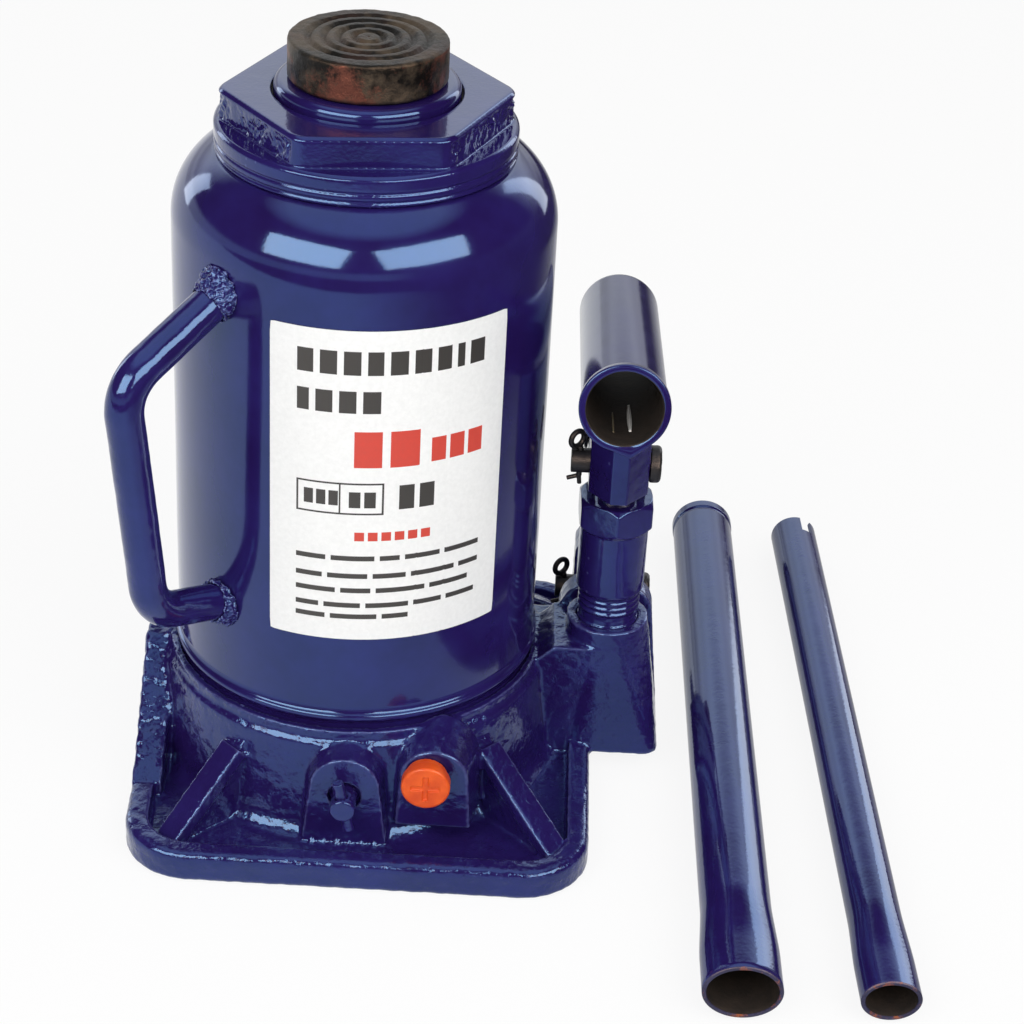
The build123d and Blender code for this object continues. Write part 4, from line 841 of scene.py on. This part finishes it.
# %% [markdown]
# ## Extension screw
# The screw is drawn plain in the measured model. Its thread shows as soon as the pad
# is wound up, so the visible screw has one: a grid of points round the axis whose
# radius follows the place inside one turn of the thread.

# %% Thread of the extension screw
low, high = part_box("extension_screw")
screw_r = high.x
PITCH = 6.0 * MM
THREAD_DEEP = 1.9 * MM
SPIGOT_R = 10.0 * MM
thread_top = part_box("saddle")[0].z
thread_foot = low.z + 4.4 * MM


def thread_radius(angle, level):
    """Rounded trapezoid thread: crest, flank, root, flank."""
    turn = ((level - thread_foot) / PITCH - angle / math.tau) % 1.0
    rise = clipped((abs(turn - 0.5) - 0.17) / 0.16)
    fade = min((thread_top - level) / (2 * MM), (level - thread_foot) / (2 * MM), 1.0)
    return screw_r - THREAD_DEEP + THREAD_DEEP * rise * max(fade, 0.0)


print("thread:", round((thread_top - thread_foot) / PITCH, 1), "turns")

# %% [markdown]
# Above the thread a plain spigot carries the pad, and below it a journal carries the
# stop ring. Both are more rings of the same skin, and a flat face closes each end.

# %% Extension screw
ROWS, STEPS = 340, 72
form = bmesh.new()
rings = [ring_of(form, STEPS, level, lambda angle: SPIGOT_R) for level in (low.z, thread_foot)]
for row in range(ROWS + 1):
    level = thread_foot + (thread_top - thread_foot) * row / ROWS
    rings.append(ring_of(form, STEPS, level, lambda angle: thread_radius(angle, level)))
rings += [ring_of(form, STEPS, level, lambda angle: SPIGOT_R) for level in (thread_top, high.z)]
bridge(form, rings)
form.faces.new(rings[0])
form.faces.new(rings[-1])
bmesh.ops.recalc_face_normals(form, faces=form.faces)
mesh = mesh_from(form, "screw")
sharpen(mesh, 50)
stand_in("extension_screw", mesh, ground_steel)

# %% [markdown]
# ## Handle tubes
# Two thin steel tubes. One end of each is pressed to an oval that fits the other tube
# or the socket. They were painted outside only, so the cut ends are bare and rusty, and
# the bore is near-black, which is painted shade. A loft of ellipses makes wall, bore and
# lips in one closed skin.


# %% Sections of a handle tube
OVAL_LONG, OVAL_TURN = 36 * MM, 0.45
LIP_ROUND, AROUND = 0.35 * MM, 96


def tube_sections(length, radius, end_wide, end_tall, bead):
    """(place along the tube, half width, half height) from the oval end to the round one."""
    taper_start, taper_end = OVAL_TURN * OVAL_LONG, OVAL_LONG
    ring_at = length - 6.5 * MM
    stops = [ring_at * step / 100 for step in range(100)]
    stops += [ring_at + 0.5 * MM * step for step in range(14)]
    stops[-1] = length
    sections = []
    for stop in stops:
        share = clipped((stop - taper_start) / (taper_end - taper_start))
        share = share * 0.7 + 0.3 * share * share * (3 - 2 * share)
        grow = bead if stop > length - 4.2 * MM else -bead if stop > length - 5.6 * MM else 0.0
        wide = end_wide / 2 + (radius - end_wide / 2) * share + grow
        tall = end_tall / 2 + (radius - end_tall / 2) * share + grow
        sections.append((stop, wide, tall))
    return sections


# %% [markdown]
# The skin runs up the outside, round the far lip, back through the bore and round the
# near lip, so wall and bore are one closed surface. The faces know which finish they
# get from their place in that order: enamel, lip or bore.


# %% Skin of a handle tube
def tube_skin(start, along, length, radius, wall, end_wide, end_tall, bead=0.0):
    """Skin of a tube with an oval near end. Returns the mesh."""
    across = along.cross(Vector((0, 0, 1))).normalized()
    up = across.cross(along)
    sections = tube_sections(length, radius, end_wide, end_tall, bead)
    first, last = sections[0], sections[-1]
    inner = [(stop, wide - wall, tall - wall) for stop, wide, tall in reversed(sections)]

    def lip(end, inset, thinner):
        """Section of a lip: moved along the tube, and narrower on all sides."""
        return (end[0] + inset, end[1] - thinner, end[2] - thinner)

    inner_edge = wall - 0.2 * MM
    outline = [lip(first, LIP_ROUND, 0.0)] + sections[1:-1]
    outline += [lip(last, -LIP_ROUND, 0.0), lip(last, 0.0, LIP_ROUND), lip(last, 0.0, inner_edge)]
    outer_faces = (len(outline) - 3) * AROUND
    lip_faces = outer_faces + 2 * AROUND
    outline += [lip(last, -LIP_ROUND, wall)] + inner[1:-1]
    outline += [lip(first, LIP_ROUND, wall), lip(first, 0.0, inner_edge)]
    outline += [lip(first, 0.0, LIP_ROUND)]
    form = bmesh.new()
    rings = []
    for stop, wide, tall in outline:
        ring = []
        for step in range(AROUND):
            angle = math.tau * step / AROUND
            side = across * (wide * math.cos(angle)) + up * (tall * math.sin(angle))
            ring.append(form.verts.new(start + along * stop + side))
        rings.append(ring)
    faces = bridge(form, rings, closed_ends=True)
    for number, face in enumerate(faces):
        face.material_index = 0 if number < outer_faces else 1 if number < lip_faces else 2
    for face in faces[-3 * AROUND:]:
        face.material_index = 1
    bmesh.ops.recalc_face_normals(form, faces=form.faces)
    mesh = mesh_from(form, "tube")
    # The third finish, for the bore, is near-black: painted shade.
    for material in (bar_enamel, bare_tube, shaded_bore):
        mesh.materials.append(material)
    return mesh


# %% [markdown]
# The thick tube takes the thin one in its far end, so its axis comes from the mount in
# the record. A low bead rolled into that end stiffens it.

# %% Thick handle tube
bore_mount = next(mount for mount in record["mounts"] if mount["name"] == "extension_bore")
low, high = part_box("handle_tube_thick")
far = Vector(bore_mount["pos_m"])
along = -Vector(bore_mount["axis"])
along = -along if along.y < 0 else along
along.normalize()
THICK_R, THICK_WALL = 10.85 * MM, 1.35 * MM
length = (far.y - low.y) / along.y
near = far - along * length
mesh = tube_skin(near, along, length, THICK_R, THICK_WALL, 24 * MM, 19.5 * MM, bead=0.2 * MM)
sharpen(mesh, 55)
stand_in("handle_tube_thick", mesh, bar_enamel)
print("thick tube:", round(length / MM, 1), "mm long")

# %% [markdown]
# The thin tube has two notches across its round end. They turn the release valve's
# spindle. A Boolean with one long block cuts both, as a saw would.

# %% Thin handle tube with its two notches
low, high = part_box("handle_tube_thin")
THIN_R, THIN_WALL = 8.25 * MM, 1.4 * MM
near = Vector((high.x - 9.1 * MM, low.y + 0.4 * MM, low.z + THIN_R))
far = Vector((low.x + THIN_R, high.y - 0.35 * MM, low.z + THIN_R))
along = (far - near).normalized()
length = (far - near).length
mesh = tube_skin(near, along, length, THIN_R, THIN_WALL, 18.2 * MM, 14.8 * MM)
tube = in_scene("thin tube", mesh)
NOTCH_WIDE, NOTCH_DEEP, NOTCH_TURN = 4.4 * MM, 9.0 * MM, math.radians(-62)
form = bmesh.new()
bmesh.ops.create_cube(form, size=1.0)
bmesh.ops.scale(form, vec=(3 * THIN_R, NOTCH_WIDE, NOTCH_DEEP), verts=form.verts)
cutter_mesh = mesh_from(form, "notch cutter")
across = along.cross(Vector((0, 0, 1))).normalized()
turned = Matrix((across, along.cross(across), along)).transposed().to_4x4()
turned = turned @ Matrix.Rotation(NOTCH_TURN, 4, "Z")
cutter_mesh.transform(Matrix.Translation(far - along * (NOTCH_DEEP / 2 - 0.2 * MM)) @ turned)
cutter = in_scene("notch cutter", cutter_mesh)
cut = tube.modifiers.new("notches", "BOOLEAN")
cut.object = cutter
cut.operation = "DIFFERENCE"
mesh = baked(tube)
bpy.data.objects.remove(cutter)
sharpen(mesh, 40)
stand_in("handle_tube_thin", mesh, bar_enamel)
print("thin tube:", round(length / MM, 1), "mm long")

# %% [markdown]
# ## Label
# A white vinyl label is wrapped round the tank. It carries plain bars and rules only.
# They are laid out flat, in millimetres from the label's lower left corner, as a
# printer would set them, and are bent round the tank later.

# %% Layout of the label
BLACK, RED = 1, 2
bars = []


def words(start, foot, tall, lengths, ink, gap=1.6):
    """A row of plain bars of one height, with one gap between them."""
    for length in lengths:
        bars.append((start, foot, start + length, foot + tall, ink))
        start += length + gap


words(8.5, 90.4, 7.6, (4.8, 5.0, 5.0, 4.6, 5.2, 5.0, 4.4, 2.4, 5.0), BLACK, gap=1.9)
words(8.5, 78.0, 7.2, (3.6, 5.0, 5.0, 5.2), BLACK, gap=1.9)
words(25.5, 60.0, 12.0, (8.2, 8.8), RED, gap=2.4)
words(48.5, 60.6, 8.0, (4.6, 4.8, 5.0), RED, gap=1.3)
for foot in (44.0, 54.2):
    words(8.5, foot, 0.6, (26.0,), BLACK)
words(8.5, 44.6, 9.6, (0.6, 0.5, 0.6), BLACK, gap=12.15)
words(10.8, 47.0, 5.0, (2.8, 2.8, 2.8), BLACK, gap=0.9)
words(24.2, 46.4, 5.4, (3.4, 3.4), BLACK, gap=1.1)
words(39.0, 45.6, 8.2, (4.6, 4.6), BLACK, gap=1.6)
words(26, 35.0, 3.0, (2.9,) * 6, RED, gap=1.1)
LINES = ((28.0, (9, 13, 6, 11, 12)), (21.8, (8, 12, 10, 14, 7)), (16.7, (12, 9, 15, 13)),
         (11.4, (7, 11, 13, 9, 10)), (7.4, (9, 14, 8)))
for foot, lengths in LINES:
    words(8.5, foot, 1.7, lengths, BLACK)
print("label:", len(bars), "bars")

# %% [markdown]
# The sheet is a grid whose lines run along the edges of every bar, so each bar is its
# own faces with its own ink. Extra lines in between let the sheet bend.

# %% Grid of the label
LABEL_WIDE, LABEL_TALL = 73.6 * MM, 104.5 * MM
cuts_u = {0.0, LABEL_WIDE / MM}
cuts_v = {0.0, LABEL_TALL / MM}
for left, foot, right, top, ink in bars:
    cuts_u |= {left, right}
    cuts_v |= {foot, top}


def filled(cuts, step):
    """Sorted cuts with extra ones wherever two lie far apart."""
    cuts = sorted(cuts)
    fine = [cuts[0]]
    for start, end in zip(cuts, cuts[1:]):
        count = max(1, math.ceil((end - start) / step))
        fine += [start + (end - start) * (number + 1) / count for number in range(count)]
    return fine


columns, levels = filled(cuts_u, 1.5), filled(cuts_v, 4.0)
print("grid:", len(columns), "by", len(levels), "lines")

# %% [markdown]
# Distance across the label becomes an angle round the tank, and its corners are drawn
# in to a small round. Solidify then gives the sheet the thickness of vinyl.

# %% Sheet of the label
LABEL_MIDDLE, LABEL_FOOT = math.radians(-76.6), 75.0 * MM
LABEL_ROUND, LABEL_THICK = 0.8 * MM, 0.14 * MM
label_r = TANK_R + 0.12 * MM


def on_wall(u, v):
    """Point of the tank wall from label millimetres."""
    half_u, half_v = LABEL_WIDE / 2, LABEL_TALL / 2
    x, y = u * MM - half_u, v * MM - half_v
    over_x, over_y = abs(x) - (half_u - LABEL_ROUND), abs(y) - (half_v - LABEL_ROUND)
    if over_x > 0 and over_y > 0:
        shrink = LABEL_ROUND / max(math.hypot(over_x, over_y), LABEL_ROUND)
        x = math.copysign(half_u - LABEL_ROUND + over_x * shrink, x)
        y = math.copysign(half_v - LABEL_ROUND + over_y * shrink, y)
    angle = LABEL_MIDDLE + x / TANK_R
    return Vector((label_r * math.cos(angle), label_r * math.sin(angle), LABEL_FOOT + half_v + y))


form = bmesh.new()
grid = [[form.verts.new(on_wall(u, v)) for u in columns] for v in levels]
for row in range(len(levels) - 1):
    below, above = grid[row], grid[row + 1]
    for column in range(len(columns) - 1):
        face = form.faces.new((below[column], below[column + 1], above[column + 1], above[column]))
        middle_u = (columns[column] + columns[column + 1]) / 2
        middle_v = (levels[row] + levels[row + 1]) / 2
        for left, foot, right, top, ink in bars:
            if left < middle_u < right and foot < middle_v < top:
                face.material_index = ink
sheet = in_scene("label sheet", mesh_from(form, "label"))
thick = sheet.modifiers.new("sheet", "SOLIDIFY")
thick.thickness = LABEL_THICK
thick.offset = 1.0
mesh = baked(sheet)
print("label sheet:", len(mesh.polygons), "faces")

# %% [markdown]
# Printed vinyl has a soft gloss and is never one flat tone. A fine speckle makes the
# white and both inks slightly mottled, and raises them a hair.


# %% Inks of the label
def vinyl(name, tint, roughness):
    """Printed vinyl: slightly mottled ink or sheet with a soft gloss."""
    made, tree, shader = finish(name, roughness, coat=0.25, coat_roughness=0.12)
    grain = speckle(tree, here(tree), 700.0, 3.0, 0.6)
    paler = tuple(min(1.0, value * 0.93 + 0.004) for value in tint[:3]) + (1.0,)
    mottled = blend(tree, spread(tree, grain, 0.3, 0.7), paler, tint)
    tree.links.new(mottled, shader.inputs["Base Color"])
    raise_surface(tree, shader, grain, 0.00002)
    return made


INKS = (("label white", (0.86, 0.86, 0.85), 0.35), ("label black", (0.035, 0.032, 0.030), 0.4),
        ("label red", (0.62, 0.045, 0.025), 0.4))
for name, tint, roughness in INKS:
    mesh.materials.append(vinyl(name, colour(*tint), roughness))
piece("label", mesh, mesh.materials[0], "root", smooth=False)
print("label:", len(INKS), "inks")

# %% [markdown]
# ## Tabs in the socket
# Two thin bright lines show on the floor of the socket's dark bore. They are two low
# ridges whose pale steel is painted light. Each is lofted along the floor of the bore and
# is thinner toward both ends.

# %% Socket tabs
TAB_STEPS = 14
PROFILE = ((-1.0, -0.3), (-0.8, 0.22), (0.0, 0.32), (0.8, 0.22), (1.0, -0.3))
down = outward.cross(Vector((-1, 0, 0)))
down = -down if down.z > 0 else down
side = Vector((1, 0, 0))
# Both ridges are pale steel as painted light; the first is the dimmer one.
TABS = ((-2.5 * MM, 0.4 * MM, 10.5, 28.0, dim_painted_light_steel),
        (2.5 * MM, 0.8 * MM, 12.0, 36.0, painted_light_steel))
for number, (offset, wide, near_depth, far_depth, steel) in enumerate(TABS):
    form = bmesh.new()
    rows = []
    for step in range(TAB_STEPS + 1):
        share = step / TAB_STEPS
        depth = (near_depth + (far_depth - near_depth) * share) * MM
        half = wide * math.sin(math.pi * min(max(share, 0.06), 0.94)) ** 0.35
        row = []
        for cross, lift in PROFILE:
            across_at = offset + cross * half
            fall = math.sqrt(bore_r * bore_r - across_at * across_at) - lift * MM
            row.append(form.verts.new(mouth - outward * depth + side * across_at + down * fall))
        rows.append(row)
    bridge(form, rows)
    form.faces.new(rows[0])
    form.faces.new(rows[-1])
    bmesh.ops.recalc_face_normals(form, faces=form.faces)
    piece("socket_tab_%d" % (number + 1), mesh_from(form, "tab"), steel, "socket")
print("tabs:", len(TABS))

# %% [markdown]
# ## Pieces that stay as measured
# Seals, balls, springs and running parts already have their true shape. They only need
# a finish in place of the plain one that came with the frame.

# %% Finishes for the remaining nodes
finish_of_slot = {
    "machined_steel": ground_steel, "ball_steel": ball_steel, "washer_copper": copper,
    "seal_rubber": rubber, "black_steel": black_steel, "blue_enamel": bar_enamel,
    "blue_enamel_cast": cast_enamel, "saddle_steel": pad_steel, "orange_plastic": orange}
for node, made in nodes.items():
    for place_in in made.material_slots:
        place_in.material = finish_of_slot[slot_of_node[node]]
print("finished:", len(nodes), "nodes")

# %% [markdown]
# ## Camera, stage and light
# The camera looks down at the jack from the front with a long lens, which keeps the
# tank's sides nearly parallel. It leans a little, as a camera held by hand does.

# %% Camera
DOWN, LEAN = math.radians(30.82), math.radians(3.22)
camera = in_scene("camera", bpy.data.cameras.new("camera"))
camera.data.lens = 89.98
camera.data.sensor_width = 36.0
camera.data.clip_end = 50.0
tilt = Matrix.Rotation(math.radians(90) - DOWN, 4, "X") @ Matrix.Rotation(LEAN, 4, "Z")
camera.matrix_world = Matrix.Translation((0.049, -0.7038, 0.5083)) @ tilt
bpy.context.scene.camera = camera
print("camera:", camera.data.lens, "mm lens,", [round(value, 3) for value in camera.location])

# %% [markdown]
# The stage is a pale floor that runs out of sight, a hair below the jack's foot. To
# the camera it is nearly white with soft shadows. In gloss only a table's worth of it
# is bright, so the blue paint mirrors a lit table in a darker room.

# %% Floor
form = bmesh.new()
bmesh.ops.create_grid(form, x_segments=8, y_segments=8, size=6.0)
floor = in_scene("floor", mesh_from(form, "floor"))
floor.location.z = -0.2 * MM
floor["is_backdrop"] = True
print("stage:", floor.name)

# %% [markdown]
# The light path tells the shader who asks: the camera, a mirror ray or a soft bounce.
# That is how one floor can look different in the picture and in a reflection.

# %% Finish of the floor
GLOW_SHARE, ROOM_DARK = 0.88, 0.96
paper = bpy.data.materials.new("pale floor")
paper.use_nodes = True
tree = paper.node_tree
tree.nodes.remove(tree.nodes["Principled BSDF"])
rays = add(tree, "LightPath").outputs
seen = calc(tree, "MAXIMUM", rays["Is Camera Ray"], rays["Is Transmission Ray"])
share = calc(tree, "ADD", times(tree, seen, GLOW_SHARE), rays["Is Glossy Ray"])
spot = add(tree, "SeparateXYZ", {0: add(tree, "NewGeometry").outputs["Position"]}).outputs
table_side = spread(tree, spot["X"], -0.02, 0.36, 1.0, 0.0)
table = times(tree, table_side, spread(tree, spot["Y"], -0.60, -0.52))
off_table = times(tree, rays["Is Glossy Ray"], calc(tree, "SUBTRACT", 1.0, table))
strength = calc(tree, "SUBTRACT", 1.0, times(tree, off_table, ROOM_DARK))
matt = add(tree, "BsdfDiffuse", {"Color": colour(0.9, 0.9, 0.9)})
glow = add(tree, "Emission", {"Color": colour(1, 1, 1), "Strength": strength})
mixed = add(tree, "MixShader", {0: share, 1: matt.outputs[0], 2: glow.outputs[0]})
tree.links.new(mixed.outputs[0], tree.nodes["Material Output"].inputs["Surface"])
floor.data.materials.append(paper)
print("floor:", paper.name)

# %% [markdown]
# The world is white to the camera. In reflections it is what a studio is: pale low
# down, a lit sweep of paper that rises behind the jack, dark walls, and a dim ceiling.

# %% World
world = bpy.data.worlds.new("studio")
bpy.context.scene.world = world
world.use_nodes = True
tree = world.node_tree
rays = add(tree, "LightPath").outputs
toward = add(tree, "SeparateXYZ", {0: add(tree, "TexCoord").outputs["Generated"]}).outputs
rise = toward["Z"]
low_walls = spread(tree, rise, 0.10, 0.16, 0.65, 0.02)
low_walls = times(tree, low_walls, spread(tree, toward["X"], 0.30, 0.60, 1.0, 0.1))
ceiling = spread(tree, rise, 0.80, 0.90, 0.0, 1.1)
sweep = spread(tree, rise, 0.05, 0.30)
for value, *limits in ((rise, 0.42, 0.50, 1.3, 1.6), (rise, 0.53, 0.66, 1.0, 0.25),
                       (rise, 0.66, 0.70, 1.0, 0.0), (toward["Y"], 0.52, 0.74)):
    sweep = times(tree, sweep, spread(tree, value, *limits))
glow = calc(tree, "ADD", calc(tree, "ADD", low_walls, ceiling), sweep)
room = add(tree, "Background", {"Color": colour(1, 1, 1), "Strength": glow})
white = add(tree, "Background", {"Color": colour(1, 1, 1), "Strength": 1.0})
fill = add(tree, "Background", {"Color": colour(1, 1, 1), "Strength": 0.5})
lit = add(tree, "MixShader", {0: rays["Is Glossy Ray"], 1: fill.outputs[0], 2: room.outputs[0]})
seen = calc(tree, "MAXIMUM", rays["Is Camera Ray"], rays["Is Transmission Ray"])
mixed = add(tree, "MixShader", {0: seen, 1: lit.outputs[0], 2: white.outputs[0]})
tree.links.new(mixed.outputs[0], tree.nodes["World Output"].inputs["Surface"])
print("world:", len(tree.nodes), "nodes")

# %% [markdown]
# Soft boxes stand where a product studio has them. Those that show in gloss and those
# that light the matt surfaces are separate lamps, so each can be set on its own. The
# two front windows are slightly warm, like lamps in a room.

# %% Lights
WARM, NEUTRAL = (1.0, 0.74, 0.56), (1.0, 1.0, 1.0)
AIM = Vector((0, 0, 0.15))


def soft_box(name, compass, height, distance, wide, tall, glow, mirrored, tint=NEUTRAL):
    """Soft box aimed at the jack; a mirrored one shows in gloss, the others light matt surfaces.

    Angles are in degrees: compass 0 is behind the jack and 90 on its right.
    """
    lamp = bpy.data.lights.new(name, "AREA")
    lamp.shape = "RECTANGLE"
    lamp.color = tint
    lamp.size = 2 * distance * math.tan(math.radians(wide / 2))
    lamp.size_y = 2 * distance * math.tan(math.radians(tall / 2))
    lamp.energy = glow * math.pi * lamp.size * lamp.size_y
    made = in_scene(name, lamp)
    turn, up = math.radians(compass), math.radians(height)
    direction = Vector((math.sin(turn) * math.cos(up), math.cos(turn) * math.cos(up), math.sin(up)))
    made.location = AIM + direction * distance
    made.rotation_euler = direction.to_track_quat("Z", "Y").to_euler()
    made.visible_diffuse = not mirrored
    made.visible_glossy = mirrored


soft_box("left front window", -147, 29, 1.7, 46, 28, 11.4, True, WARM)
soft_box("right front window", 138, 30, 1.7, 50, 28, 10.4, True, WARM)
soft_box("left back window", -52, 12, 1.9, 12, 26, 3.0, True)
soft_box("right back window", 40, 16, 1.9, 12, 40, 2.4, True)
soft_box("left key", -147, 38, 1.7, 46, 34, 2.7, False)
soft_box("right key", 138, 38, 1.7, 50, 34, 2.75, False)
print("lights:", len(bpy.data.lights))

# %% [markdown]
# The Standard view shows the colours as they are. The last cell measures the finished
# jack.

# %% Finish
bpy.context.scene.view_settings.view_transform = "Standard"
low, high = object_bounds()
print("size:", list(low), list(high))
